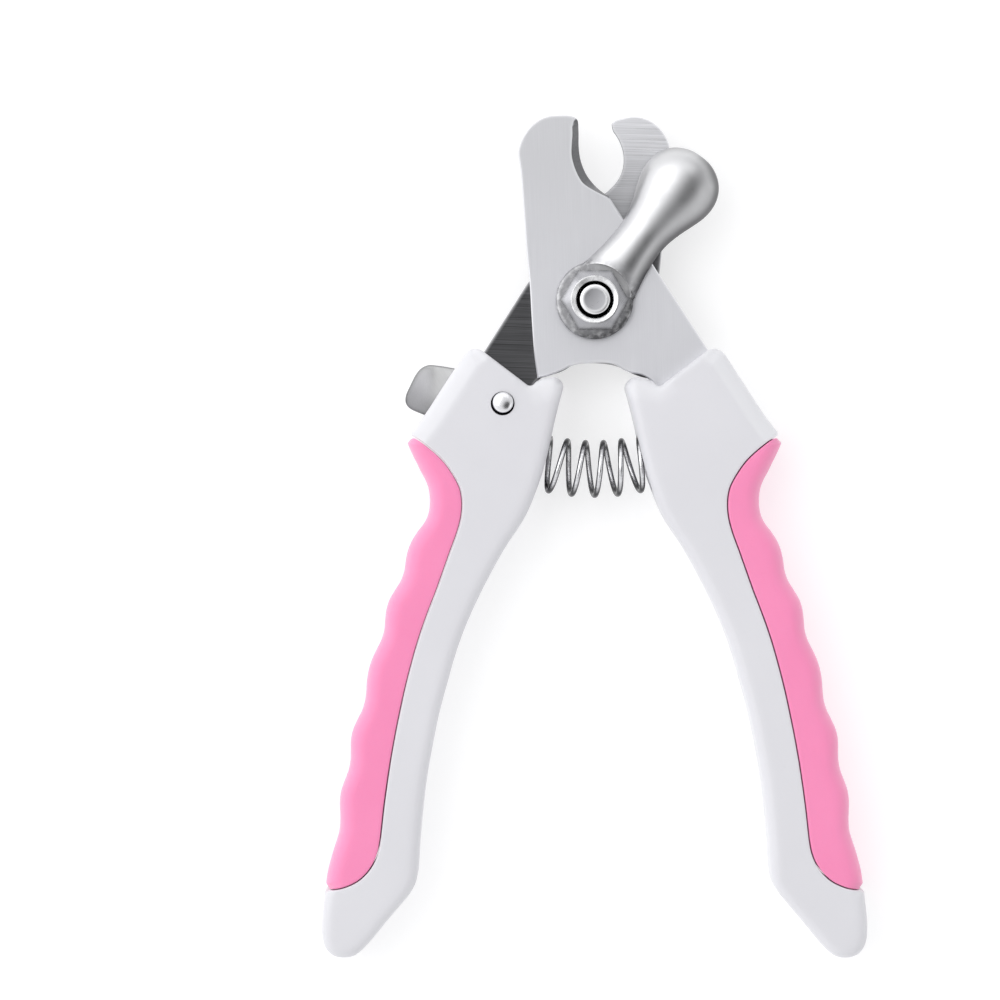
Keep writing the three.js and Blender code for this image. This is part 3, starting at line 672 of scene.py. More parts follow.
def polished(name, color, rough=0.16, orange=0.004, dirt=0.3, marks=(), wear=None):
    m = Mat(name, color, rough, 1.0)
    patches = m.noise(0.3, 4.0)
    fine = m.noise(2.5, 4.0, 0.6)
    c = m.mix(m.span(patches, 0.0, dirt), color, tuple(0.82 * x for x in color))
    for attr, amount, tone in marks:
        c = m.mix(m.span(m.attribute(attr), 0.0, amount, 0.0, 1.0), c, tone)
    if wear:      # rubbed and stained flecks: (attribute or None, amount, tone)
        k = m.span(m.noise(0.9, 4.0, 0.65), 0.0, wear[1], 0.46, 0.66)
        c = m.mix(m.math("MULTIPLY", k, m.attribute(wear[0])) if wear[0] else k, c, wear[2])
    m.color(c)
    m.rough(m.math("ADD", m.span(patches, rough, rough + 0.08), m.span(fine, -0.02, 0.03)))
    m.bump(m.noise(0.8, 2.0), orange, 0.6)
    m.bump(m.noise(12.0, 3.0, 0.6), orange * 0.25, 0.5)
    return m.m


def turned_metal(name, color, centre, rough=0.22, depth=0.004, shadow_band=None, inner=None):
    """Concentric tool marks about an axis that stands along Z. shadow_band: heights (mm) of a stretch painted dark as
    shadow;
    inner: (radius, tone) of a duller middle."""
    m = Mat(name, color, rough, 1.0)
    off = node(m.nt, "ShaderNodeVectorMath", operation="SUBTRACT")
    m.link(m.mm, off.inputs[0])
    off.inputs[1].default_value = (centre[0], centre[1] + PIVOT_Y, 0.0)
    flat = node(m.nt, "ShaderNodeVectorMath", operation="MULTIPLY")
    m.link(off.outputs[0], flat.inputs[0])
    flat.inputs[1].default_value = (1.0, 1.0, 0.0)
    ln = node(m.nt, "ShaderNodeVectorMath", operation="LENGTH")
    m.link(flat.outputs[0], ln.inputs[0])
    comb = node(m.nt, "ShaderNodeCombineXYZ")
    m.link(ln.outputs["Value"], comb.inputs[0])
    rings = m.noise(9.0, 3.0, 0.6, comb.outputs[0])
    c = m.mix(m.span(rings, 0.0, 1.0), tuple(0.86 * x for x in color), color)
    if inner:
        c = m.mix(m.span(ln.outputs["Value"], 1.0, 0.0, inner[0], inner[0] + 0.35), c, inner[1])
    if shadow_band:
        sep = node(m.nt, "ShaderNodeSeparateXYZ")
        m.link(m.mm, sep.inputs[0])
        low = m.span(sep.outputs[2], 0.0, 1.0, shadow_band[0] - 0.05, shadow_band[0] + 0.05)
        high = m.span(sep.outputs[2], 1.0, 0.0, shadow_band[1] - 0.05, shadow_band[1] + 0.05)
        c = m.mix(m.math("MULTIPLY", low, high), c, (0.006, 0.006, 0.007))
    m.color(c)
    m.rough(m.math("ADD", m.span(rings, rough, rough + 0.08), m.span(m.noise(0.8, 3.0), 0.0, 0.06)))
    m.bump(rings, depth, 0.8)
    return m.m


def wire_metal():
    """Drawn wire: painted shade darkens its sides, leaving a painted highlight along its top and bottom."""
    m = Mat("spring_steel", (0.5, 0.5, 0.52), 0.2, 1.0)
    streak = m.noise(1.0, 3.0, 0.6, m.stretched(0.6, 2.2, 2.2))
    c = m.mix(m.span(streak, 0.0, 1.0), (0.62, 0.62, 0.63), (0.86, 0.86, 0.88))
    m.color(m.mix(m.span(m.attribute("shaded_flank"), 0.0, 1.0, 0.0, 1.0), c, (0.035, 0.035, 0.037)))
    m.rough(m.span(streak, 0.16, 0.3))
    m.bump(streak, 0.002, 0.6)
    return m.m


MATS = {
    "handle_white": white_plastic(),
    "grip_pink": pink_rubber(),
    "steel_front": steel("steel_front", (0.715, 0.715, 0.745), (0.755, 0.755, 0.785), 88.0, (0.36, 0.43), 0.0005, 9.0, 0.09, 0.2,
                         top=FRONT[1], cut=(0.13, 0.13, 0.135), fade=(PIVOT_Y - 4.0, PIVOT_Y + 28.0, (0.63, 0.63, 0.65), (0.665, 0.665, 0.685))),
    # steel_rear: its dark tone and the lighter stretch further along Y are painted reflection
    "steel_rear": steel("steel_rear", (0.045, 0.045, 0.047), (0.12, 0.12, 0.125), 2.0, (0.26, 0.4), 0.002, 6.0, 0.035, 0.4,
                        top=REAR[1], cut=(0.3, 0.3, 0.31), fade=(PIVOT_Y + 4.0, PIVOT_Y + 29.0, (0.64, 0.64, 0.66), (0.84, 0.84, 0.87))),
    # guard_steel: the shade mark is a painted reflection and the rim mark is painted shade
    "guard_steel": polished("guard_steel", (0.685, 0.685, 0.695), 0.35, 0.003, 0.2,
                            (("shade", 0.72, (0.22, 0.22, 0.225)), ("eye", 0.85, (0.36, 0.36, 0.375)),
                             ("rim", 0.9, (0.06, 0.06, 0.063))), ("eye", 0.6, (0.66, 0.66, 0.67))),
    # nut_steel: painted shade darkens the sides, painted shadow darkens the bore, and the flat face is brighter
    "nut_steel": polished("nut_steel", (0.40, 0.40, 0.42), 0.2, 0.003, 0.3,
                          (("face", 1.0, (0.88, 0.88, 0.89)), ("side", 0.8, (0.11, 0.11, 0.115)), ("hole", 1.0, (0.01, 0.01, 0.01))),
                          (None, 0.5, (0.42, 0.42, 0.43))),
    # bolt_steel and rivet_steel: the dark bands are painted shadow, on the bolt where it stands in the nut and on the
    # rivet's flange under its head
    "bolt_steel": turned_metal("bolt_steel", (0.93, 0.93, 0.94), (0, 0), 0.24, 0.003, (11.0, 15.7), (1.75, (0.46, 0.46, 0.48))),
    "washer_steel": turned_metal("washer_steel", (0.55, 0.55, 0.57), (0, 0), 0.3),
    "rivet_steel": turned_metal("rivet_steel", (0.88, 0.88, 0.9), tuple(RIVET), 0.16, 0.001, (12.0, 13.9)),
    "pin_steel": turned_metal("pin_steel", (0.6, 0.6, 0.62), (8.18, -15.41), 0.25),
    "spring_steel": wire_metal(),
    # lever_steel: the lighter stretch toward the top of the tab is a painted highlight, and the lip band is painted
    # shade
    "lever_steel": steel("lever_steel", (0.40, 0.40, 0.40), (0.46, 0.46, 0.46), 60.0, (0.34, 0.46), 0.001, 9.0, 0.1, 0.2,
                         fade=(PIVOT_Y - 21.0, PIVOT_Y - 10.5, (0.66, 0.66, 0.66), (0.72, 0.72, 0.72)), blotch=0.05, lip=(0.16, 0.16, 0.165)),
}


def finish(ob, node_name, slot_name, body, mat=None):
    ob.data.materials.clear()
    ob.data.materials.append(MATS[mat or slot_name])
    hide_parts(node_name)
    if body:
        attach(ob, body)
    return ob


# ---- plates ---------------------------------------------------------------------------------------------
def circle(r, step=0.35, c=(0.0, 0.0)):
    n = max(24, int(2 * math.pi * r / step))
    a = np.linspace(0, 2 * math.pi, n, endpoint=False)
    return np.stack([c[0] + r * np.cos(a), c[1] + r * np.sin(a)], 1)


def hole(r, tag="bore", c=(0.0, 0.0), step=0.35):
    P = circle(r, step, c)
    return P, np.array([tag] * len(P))


def chamfer(d, w, h=None):
    return np.clip(1 - d / w, 0, 1) * (h if h is not None else w)


front_runs = loop(("side", dense(JAW_SIDE, 0.35)), ("cut", dense(FRONT_EDGE, 0.25)),
                  ("side", dense(FRONT_ROOT, 0.6, True)), ("side", dense([[20.4, -9.0], [25.39, -18.04]], 0.8, True)),
                  ("side", dense(TANG, 0.7)), ("side", dense([TANG[-1], ARCH[0]], 0.4, True)), ("side", dense(ARCH, 0.3)))
def ground(W):
    """Width of the ground cutting face: it runs out toward the root of the jaw."""
    return 0.16 + (0.95 + 0.35 * step_up(-W[:, 1], -30.0, -25.0)) * step_up(W[:, 1], 18.0, 21.3)


def on_ground(k=1.0, add=0.0):
    def offset(P, n):
        r = 1.0
        for _ in range(10):
            r = 0.5 * r + 0.5 * float(ground((P + n * r)[None])[0])
        return r * k + add
    return offset


def ground_drop(W, D):
    w = ground(W)
    return np.clip(1 - D["cut"] / w, 0, 1) * np.minimum(2.2 * w, 2.65)


front = field_mesh(
    "front_blade_plate", [front_runs, hole(3.15)],
    lambda W, D: FRONT[1] - np.maximum(chamfer(D["side"], 0.2), ground_drop(W, D)) - chamfer(D["bore"], 0.2),
    lambda W, D: FRONT[0] + chamfer(D["side"], 0.15),
    {"side": [0.2, 0.6], "cut": [on_ground(0.5), on_ground(), on_ground(1.0, 0.07), on_ground(1.0, 0.5)],
     "bore": [0.2, 0.6]}, 1.6,
    crisp=(("side", 0), ("cut", 1), ("cut", 2), ("bore", 0)), sharp=20.0,
    attrs={"cut": lambda W, D: (D["cut"] < ground(W) + 0.03).astype(float),
           # edge: drives the painted highlight along the top edges
           "edge": lambda W, D: np.exp(-np.minimum(D["side"], np.maximum(D["cut"] - ground(W), 0)) / 0.35)})
finish(front, "front_blade", "steel_front", "right_arm")

rear_runs = loop(("side", dense(REAR_SIDE, 0.35)), ("cut", dense(REAR_EDGE, 0.25)),
                 ("side", dense(REAR_ROOT, 0.6, True)), ("side", dense([[-19.68, -9.11], [-25.39, -18.04]], 0.8, True)),
                 ("side", dense(flip(TANG), 0.7)), ("side", dense([flip(TANG)[-1], flip(ARCH)[0]], 0.4, True)),
                 ("side", dense(flip(ARCH), 0.3)))
rear = field_mesh(
    "rear_blade_plate", [rear_runs, hole(3.15), hole(1.3, c=RIVET)],
    lambda W, D: REAR[1] - chamfer(D["side"], 0.2) - chamfer(D["cut"], 0.12, 0.1),
    lambda W, D: REAR[0] + np.maximum(chamfer(D["side"], 0.2), chamfer(D["cut"], 1.15, 2.55)) + chamfer(D["bore"], 0.2),
    {"side": [0.2, 0.6], "cut": [0.12, 0.6, 1.15, 1.4], "bore": [0.2, 0.6]}, 1.6,
    crisp=(("side", 0), ("cut", 2), ("bore", 0)), sharp=20.0,
    attrs={"cut": lambda W, D: (D["cut"] < 0.02).astype(float),
           # edge: drives the painted highlight along the top edges
           "edge": lambda W, D: np.exp(-np.minimum(D["side"], D["cut"]) / 0.35)})
finish(rear, "rear_blade", "steel_rear", "left_arm")

# ---- pivot stack -----------------------------------------------------------------------------------------
hexa = lambda af, turn=0.0: np.array([[af / math.sqrt(3) * math.cos(math.radians(60 * i + turn)),
                                       af / math.sqrt(3) * math.sin(math.radians(60 * i + turn))] for i in range(6)])


def hex_loop(af, turn=0.0, step=0.3):
    h = hexa(af, turn)
    runs = [("flat", dense([h[i], h[(i + 1) % 6]], step, True)) for i in range(6)]
    return loop(*runs)


def nut_top(W, D):
    r = np.linalg.norm(W, axis=1)
    return 15.3 - np.maximum(r - 4.25, 0) * 0.6 - np.maximum(4.05 - r, 0) * 0.42 - chamfer(D["bore"], 0.2, 0.3)


def nut_bottom(W, D):
    r = np.linalg.norm(W, axis=1)
    return 12.6 + np.maximum(r - 4.9, 0) * 0.35


nut = field_mesh("pivot_nut_hex", [hex_loop(10.4), hole(3.12, step=0.2)], nut_top, nut_bottom,
                 {"flat": [0.08, 0.16, 0.3], "bore": [0.06, 0.2, 0.55, 0.93, 1.08, 1.16]}, 0.28, crisp=(("bore", 1), ("bore", 3), ("bore", 4), ("bore", 5)),
                 # side: painted shade; hole: painted shadow
                 sharp=18.0, attrs={"face": lambda W, D: (np.linalg.norm(W, axis=1) < 4.24).astype(float),
                                    "side": lambda W, D: np.exp(-(D["flat"] / 0.3) ** 2),
                                    "hole": lambda W, D: (D["bore"] < 0.03).astype(float)})
finish(nut, "pivot_nut", "nut_steel", "left_arm")

BR = 2.99
shank = [[0.0, 15.93], [1.5, 15.94], [1.9, 15.99], [2.25, 16.0], [2.48, 15.96], [2.62, 15.86], [2.68, 15.7], [2.68, 14.3]]
z = 14.2
while z > 12.6:
    shank += [[2.60, z], [BR, z - 0.2], [BR, z - 0.3], [2.60, z - 0.5]]
    z -= 0.55
shank += [[2.62, 12.1], [BR, 11.9], [BR, 3.3], [3.0, 3.25]]
bolt = lathe("pivot_bolt_shank", shank + [[0.0, 3.25]], segs=80, sharp=28.0)


def head_bottom(W, D):
    r = np.linalg.norm(W, axis=1)
    return 1.0 + np.maximum(r - 3.85, 0) * 0.6


head = field_mesh("pivot_bolt_head", [hex_loop(8.2, 30.0)], lambda W, D: np.full(len(W), 3.26), head_bottom,
                  {"flat": [0.12, 0.3]}, 0.28, sharp=24.0)
join = bmesh.new()
join.from_mesh(bolt.data)
join.from_mesh(head.data)
join.to_mesh(bolt.data)
join.free()
bpy.data.objects.remove(head)
finish_shading(bolt, 26.0)
finish(bolt, "pivot_bolt", "bolt_steel", "left_arm")


def washer(name, r, bore, z0, z1, wobble=0.0):
    c = min(0.08, (z1 - z0) / 4)
    return lathe(name, [[bore, z0], [r - c, z0], [r, z0 + c], [r, z1 - c], [r - c, z1], [bore, z1]],
                 segs=96, closed=True, wobble=wobble)


finish(washer("back_washer_disc", 5.0, 3.15, 3.3, 3.95), "back_washer", "washer_steel", "left_arm")
finish(washer("blade_washer_disc", 6.6, 3.15, 10.05, 10.55), "blade_washer", "washer_steel", "left_arm")
finish(washer("wave_washer_disc", 5.1, 3.15, 12.18, 12.52, 0.03), "guard_wave_washer", "washer_steel", "left_arm")

# ---- guard -------------------------------------------------------------------------------------------------
gw = dense(GUARD_W, 0.35)
arc0 = math.degrees(math.atan2(5.62, 3.9))
eye = np.array([[6.9 * math.cos(math.radians(a)), 6.9 * math.sin(math.radians(a))]
                for a in np.linspace(arc0, 360 - arc0, 96)])
guard_loop = loop(("rim", gw[::-1]), ("eye", eye), ("rim", flip(rot(gw, 180))))
GW = np.vstack([gw, [[31.9, 0.0]]])
GH = np.array([[3.0, 2.3], [6.0, 2.7], [10.0, 3.05], [15.0, 3.6], [20.0, 4.75], [24.0, 5.55],
               [26.5, 5.75], [28.5, 5.45], [30.2, 4.5], [31.3, 2.9], [31.9, 0.9]])
ghc = dense(GH, 0.3)


def crown(W):
    u, v = W[:, 0], np.abs(W[:, 1])
    w = np.interp(u, GW[:, 0], GW[:, 1])
    h = np.interp(u, ghc[:, 0], ghc[:, 1])
    t = np.clip(v / np.maximum(w, 0.05), 0, 1)
    return h * np.maximum(1 - t ** 2.0, 0) ** 0.52


def guard_top(W, D):
    r = np.linalg.norm(W, axis=1)
    d = np.minimum(D["rim"], D["eye"])
    flat = EYE_T - rounding(d, 0.45, 0.45)
    dome = np.where(W[:, 0] > 2.0, crown(W), 0.0)
    skirt = 0.45 + rounding(np.full(len(W), 1.0), 1, 0)
    return GUARD_Z + np.where(r < 7.0, np.maximum(flat, np.where(W[:, 0] > 3.2, dome, 0)), np.maximum(dome, skirt))


def guard_bottom(W, D):
    r = np.linalg.norm(W, axis=1)
    room = np.maximum(crown(W) - 1.15, 0.0)
    ramp = np.clip((D["rim"] - 1.0) * 3.0, 0, None) * (r > 8.0)
    return GUARD_Z + np.minimum(room, np.minimum(ramp, np.clip((r - 8.2) * 3.0, 0, None)))


def guard_shade(W):
    """Painted reflection: a dark streak down the outer side of the dome and over the end of the bulb, standing in for a
    dark card mirrored there.
    """
    w = np.maximum(np.interp(W[:, 0], GW[:, 0], GW[:, 1]), 2.0)
    q = -W[:, 1] / w
    end = 0.75 * step_up(W[:, 0], 26.0, 31.0) * step_up(q, -0.5, 0.4)
    shaded_flank = np.exp(-((q - 0.3) / 0.3) ** 2) + 0.6 * step_up(q, 0.5, 0.95)
    return np.maximum(shaded_flank * (1 - 0.5 * step_up(W[:, 0], 27.0, 31.0)), end) * step_up(W[:, 0], 4.0, 9.0)


guard = field_mesh("quick_guard_shell", [guard_loop, hole(3.15)], guard_top, guard_bottom,
                   {"rim": [0.03, 0.1, 0.22, 0.4, 0.65, 1.0, 1.4], "eye": [0.06, 0.2, 0.45, 0.8], "bore": [0.4]},
                   0.4, angle=GUARD_ANGLE, sharp=40.0,
                   # rim: painted shade along the outline, strongest on the right-hand side
                   attrs={"rim": lambda W, D: np.exp(-(np.minimum(D["rim"], D["eye"]) / (0.7 + 0.5 * step_up(-W[:, 1], 0.0, 4.0))) ** 2)
                          * (0.4 + 0.6 * step_up(-W[:, 1], -1.0, 3.0)),
                          # shade: painted reflection streak on the dome
                          "shade": lambda W, D: guard_shade(W),
                          "eye": lambda W, D: 1 - step_up(np.linalg.norm(W, axis=1), 6.0, 9.0)})
carve(guard, prism("cut", circle(6.5, 0.3), GUARD_Z + EYE_T, 30.0), 36.0)
finish(guard, "quick_guard", "guard_steel", "guard")

# ---- latch -------------------------------------------------------------------------------------------------
arm_free = rot(ARM_LOCKED, SWING)
arm_run = np.vstack([[0.19, 6.1], arm_free[2:16], [[-2.0, -3.9]]])
lever_loop = loop(("lip", dense(TAB_LOW, 0.3)), ("lip", dense(HUB_TOP, 0.3)),
                  ("lip", dense(np.vstack([HUB_TOP[-1], arm_free[2:6]]), 0.35)),
                  ("lip", dense(arm_free[5:10], 0.3, True)),
                  ("lip", dense(arm_free[9:14], 0.35)),
                  ("lip", dense(np.vstack([arm_free[13], [[3.7, 1.6], [3.6, -1.0], [2.2, -3.0], [0.0, -3.9], [-2.0, -3.9]]]), 0.35)))
LP, LT = lever_loop
LP = soften(LP, [[-17.75, -0.1], [-15.2, 6.3]], 2.2, 26)
LP = soften(LP, [arm_free[5], arm_free[6], arm_free[7], arm_free[8], arm_free[9]], 0.8, 8)
lever_world = LP + RIVET


def curl(W):
    t = np.clip((RIVET[0] - 12.2 - W[:, 0]) / 5.8, 0, 1.05)
    return 3.6 * t ** 1.8


lever = field_mesh("latch_lever_sheet", [(lever_world, LT), hole(1.3, c=RIVET)],
                   lambda W, D: LEVER_Z[1] + curl(W) - rounding(D["lip"], 0.4, 0.4),
                   lambda W, D: LEVER_Z[0] + curl(W) + rounding(D["lip"], 0.4, 0.4),
                   {"lip": [0.06, 0.2, 0.4, 0.8], "bore": [0.3]}, 0.7, sharp=40.0,
                   # lip: painted shade along the outline
                   attrs={"lip": lambda W, D: np.exp(-(D["lip"] / 0.32) ** 2)})
finish(lever, "latch_lever", "lever_steel", "latch")
finish(lathe("latch_washer_disc", [[1.3, 3.47], [2.22, 3.47], [2.3, 3.55], [2.3, 3.75], [2.22, 3.83], [1.3, 3.83]],
             tuple(RIVET), 48, closed=True), "latch_spring_washer", "washer_steel", "left_arm")
dome = [[1.84 * math.sin(math.radians(a)), 14.28 + 0.70 * math.cos(math.radians(a))] for a in range(0, 91, 9)]
rivet = lathe("latch_rivet_body", [[0, 14.98]] + dome[1:] + [[1.84, 14.06], [1.78, 14.02], [1.1, 14.0], [1.1, 0.9], [1.8, 0.86],
                                   [1.84, 0.78], [1.84, 0.45], [1.6, 0.24], [0.9, 0.2], [0.55, 0.42], [0, 0.46]],
              tuple(RIVET), 64)
# A flange under the rivet's head, painted dark as the shadow seen in the gap around the head.
shadow_cup = lathe("rivet_cup", [[1.0, 13.4], [2.05, 13.4], [2.08, 13.5], [2.08, 13.62], [2.0, 13.66], [1.0, 13.66]],
            tuple(RIVET + np.array([-0.06, -0.2])), 48, closed=True)
both = bmesh.new()
both.from_mesh(rivet.data)
both.from_mesh(shadow_cup.data)
both.to_mesh(rivet.data)
both.free()
bpy.data.objects.remove(shadow_cup)
finish_shading(rivet, 30.0)
finish(rivet, "latch_rivet", "rivet_steel", "left_arm")
finish(lathe("catch_pin_body", [[0, 6.4], [0.75, 6.4], [0.9, 6.25], [0.9, 0.55], [0.75, 0.4], [0, 0.4]],
             (8.18, -15.41), 40), "latch_catch_pin", "pin_steel", "right_arm")


# ---- spring ------------------------------------------------------------------------------------------------
def coil(name, arc_r=37.5, mid_y=-30.0, cz=7.0, r=4.7, wire=0.5, turns=6.4, half=18.0, n=520, m=14):
    t = np.linspace(0, 1, n)
    ang = np.radians(half * (2 * t - 1))
    # the end turns close up a little, as a wound spring's do
    # the phase runs evenly along the coil, set back by a small constant
    ph = 2 * math.pi * turns * (t - 0.5) - 0.15
    out = np.stack([np.sin(ang), -np.cos(ang), np.zeros(n)], 1)
    c = np.stack([arc_r * np.sin(ang), mid_y + arc_r - arc_r * np.cos(ang), np.full(n, cz)], 1)
    zed = np.array([0.0, 0.0, 1.0])
    radial = out * np.cos(ph)[:, None] + zed * np.sin(ph)[:, None]
    p = c + radial * r
    tan = np.gradient(p, axis=0)
    tan /= np.linalg.norm(tan, axis=1)[:, None]
    n1 = radial - np.sum(radial * tan, 1)[:, None] * tan
    n1 /= np.linalg.norm(n1, axis=1)[:, None]
    n2 = np.cross(tan, n1)
    a = np.linspace(0, 2 * math.pi, m, endpoint=False)
    V = p[:, None] + wire * (np.cos(a)[None, :, None] * n1[:, None] + np.sin(a)[None, :, None] * n2[:, None])
    V = V.reshape(-1, 3)
    faces = []
    for i in range(n - 1):
        for k in range(m):
            k2 = (k + 1) % m
            faces.append((i * m + k, i * m + k2, (i + 1) * m + k2, (i + 1) * m + k))
    faces.append(tuple(range(m)))
    faces.append(tuple((n - 1) * m + k for k in range(m))[::-1])
    up = (np.cos(a)[None, :, None] * n1[:, None] + np.sin(a)[None, :, None] * n2[:, None])[..., 2].reshape(-1)
    v = to_row(V[:, :2], V[:, 2])
    # painted shade on the sides of the wire, set by the slope of its surface
    return face_out(mesh_object(name, v, faces, sharp=50.0, attrs={"shaded_flank": 1 - step_up(np.abs(up), 0.45, 0.9)}))


spring = coil("return_spring_coil")
spring.data.materials.append(MATS["spring_steel"])
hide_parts("return_spring")
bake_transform(spring)

# ---- handles and grips ----------------------------------------------------------------------------------------
GAP = 0.1


def shifted(P, d):
    """Open line moved sideways by d."""
    t = np.gradient(P, axis=0)
    t /= np.linalg.norm(t, axis=1)[:, None]
    return P + np.stack([-t[:, 1], t[:, 0]], 1) * d


seam = dense(SEAM, 0.4)


def handle_loops(s):
    sg = lambda p: np.asarray(p, float) if s > 0 else flip(p)
    hard = shifted(seam, -GAP)    # toward the inside of the handle
    soft = shifted(seam, GAP)
    if np.mean(hard[:, 0]) > np.mean(soft[:, 0]):
        hard, soft = soft, hard
    head = dense(HEAD_OUT, 0.4)
    hard = hard[(hard[:, 0] < 47.6)]
    white = loop(("top", dense(HEAD_TOP, 0.35, True)), ("brow", head), ("seam", np.vstack([head[-1], hard[1:]])),
                 ("edge", np.vstack([hard[-1], dense(HEEL_OUT, 0.4)])), ("edge", dense(INNER, 0.4)),
                 ("nose", dense(NOSE, 0.35)), ("top", dense(NOTCH, 0.35, True)))
    P, tg = white
    P = soften(P, [[21.9, -7.5]], 2.6, 40)
    P = soften(P, [[5.35, -13.75]], 1.7, 22)
    P = soften(P, [[10.0, -14.04], [11.36, -15.57]], 0.6, 5)
    outer = dense(GRIP_OUT, 0.4)
    pink = loop(("soft", outer), ("seam", soft[1:-1][::-1]))
    Q, tq = pink
    Q = soften(Q, [outer[0]], 1.1, 14)
    Q = soften(Q, [outer[-1]], 0.8, 10)
    return (sg(P), tg), (sg(Q), tq)


def press(a, b):
    """Two drops on one surface, joined without a step."""
    h = T / 2
    return h - (h - a) * (h - b) / h


def soft_slope(d, width, drop, lip):
    """A flat facet along an edge, blended into the face at its top and rolled over at the outline."""
    t = np.clip((width - d) / width, 0, None)
    return drop * t * t / (t + 0.12) * 1.12 + rounding(d, lip, lip)


def white_top(W, D):
    z = press(rounding(D["edge"], 1.7, 1.7), rounding(D["seam"], 0.26, 0.2))
    z = press(z, soft_slope(D["brow"], 3.3, 1.25, 1.5))
    z = press(z, rounding(D["top"], 0.8, 0.7))
    return T - press(z, soft_slope(D["nose"], 4.2, 0.85, 1.1))


def white_bottom(W, D):
    z = press(rounding(D["edge"], 1.7, 1.7), rounding(D["seam"], 0.26, 0.2))
    z = press(z, soft_slope(D["brow"], 3.3, 1.25, 1.5))
    z = press(z, rounding(D["top"], 0.8, 0.7))
    return press(z, rounding(D["nose"], 1.2, 1.2))


def pink_top(W, D):
    return T - press(rounding(D["soft"], 2.6, 3.4), rounding(D["seam"], 0.3, 0.2))


def pink_bottom(W, D):
    return press(rounding(D["soft"], 2.6, 3.2), rounding(D["seam"], 0.3, 0.2))


def polar_slot(low, high, back, ahead):
    """Room for an arm that swings: its outline in polar form, from its low side to its high side."""
    lo = np.array([[r * math.cos(math.radians(a - back)), r * math.sin(math.radians(a - back))] for r, a in low])
    hi = np.array([[r * math.cos(math.radians(a + ahead)), r * math.sin(math.radians(a + ahead))] for r, a in high])
    return np.vstack([lo, hi[::-1]])


def wide_sweep(rows_low, rows_high, back, ahead):
    lo, hi = [], []
    for (r, a) in rows_low:
        lo.append((r, a))
    for (r, a) in rows_high:
        hi.append((r, a))
    return polar_slot(lo, hi, back, ahead)


# swept rooms about the latch axis, in polar rows [radius, degrees]
tab_room = wide_sweep([(2.0, 200), (6.5, 133.0), (9.4, 138.5), (11.3, 144), (13.4, 148), (15.2, 151), (19.0, 152)],
                      [(2.0, 210), (6.5, 213.5), (11.6, 196.5), (14.1, 190.5), (16.3, 186), (19.0, 184)], SWING + 2.0, 0.0)
arm_room_pts = wide_sweep([(2.0, -70), (3.9, -55), (4.2, -3), (8.4, 15.0), (13.4, 10.8), (16.0, 8.4), (17.6, 5.8),
                           (19.3, -0.8), (21.4, 0.0)],
                          [(2.0, 110), (4.4, 105), (5.9, 74), (10.7, 42.5), (15.6, 27.0), (19.8, 19.0), (21.5, 12.0)],
                          0.0, SWING + 1.0)


def make_handle(s, name):
    white, pink = handle_loops(s)
    rings = {"edge": arc_rings(1.7, 5) + [2.6], "seam": [0.05, 0.14, 0.27, 0.7],
             "brow": arc_rings(1.5, 5) + [2.1, 2.7, 3.3, 4.0], "top": arc_rings(0.8, 4) + [1.3],
             "nose": arc_rings(1.2, 4) + [2.0, 3.0, 4.2]}
    near = lambda *tags: (lambda W, D: np.exp(-np.min(np.stack([D[t] for t in tags]), 0) / 0.9))
    h = field_mesh(name + "_handle_moulding", [white], white_top, white_bottom, rings, 0.95, sharp=38.0,
                   # edge: drives the paler edges, a painted highlight with some wear
                   attrs={"edge": near("edge", "brow", "top", "nose"),
                          # facet: painted highlight on the brow and nose facets, weaker on the left handle
                          "facet": lambda W, D: np.maximum((0.55 if s < 0 else 1.15) * (1 - step_up(D["brow"], 2.4, 3.6)),
                                                           0.8 * (1 - step_up(D["nose"], 1.5, 4.6)))})
    g = field_mesh(name + "_grip_overmould", [pink], pink_top, pink_bottom,
                   {"soft": arc_rings(2.6, 7) + [3.4], "seam": [0.06, 0.15, 0.3, 0.7]}, 0.8, sharp=38.0,
                   # edge: drives the paler edges, a painted highlight with some wear
                   attrs={"edge": near("soft")})
    return h, g


lh, lg = make_handle(-1, "left")
rh, rg = make_handle(1, "right")


def socket_cutter(s, r=5.35):
    """Round pocket for one end of the spring."""
    a0, a1, R = 9.0, 19.3, 37.5
    n = 48
    t = math.radians((a0 + a1) / 2) * s
    L = math.radians(a1 - a0) * R + 1.0
    bm = bmesh.new()
    bmesh.ops.create_cone(bm, cap_ends=True, segments=n, radius1=r, radius2=r, depth=L)
    m = (Matrix.Translation(Vector((R * math.sin(t), -30.0 + R - R * math.cos(t), 7.0)))
         @ Matrix.Rotation(t, 4, "Z") @ Matrix.Rotation(math.radians(90), 4, "Y"))
    bm.transform(Matrix.Translation(Vector((0, PIVOT_Y * MM, 0))) @ Matrix.Scale(MM, 4) @ m)
    me = bpy.data.meshes.new("cut")
    bm.to_mesh(me)
    bm.free()
    ob = bpy.data.objects.new("cut", me)
    bpy.context.scene.collection.objects.link(ob)
    return ob


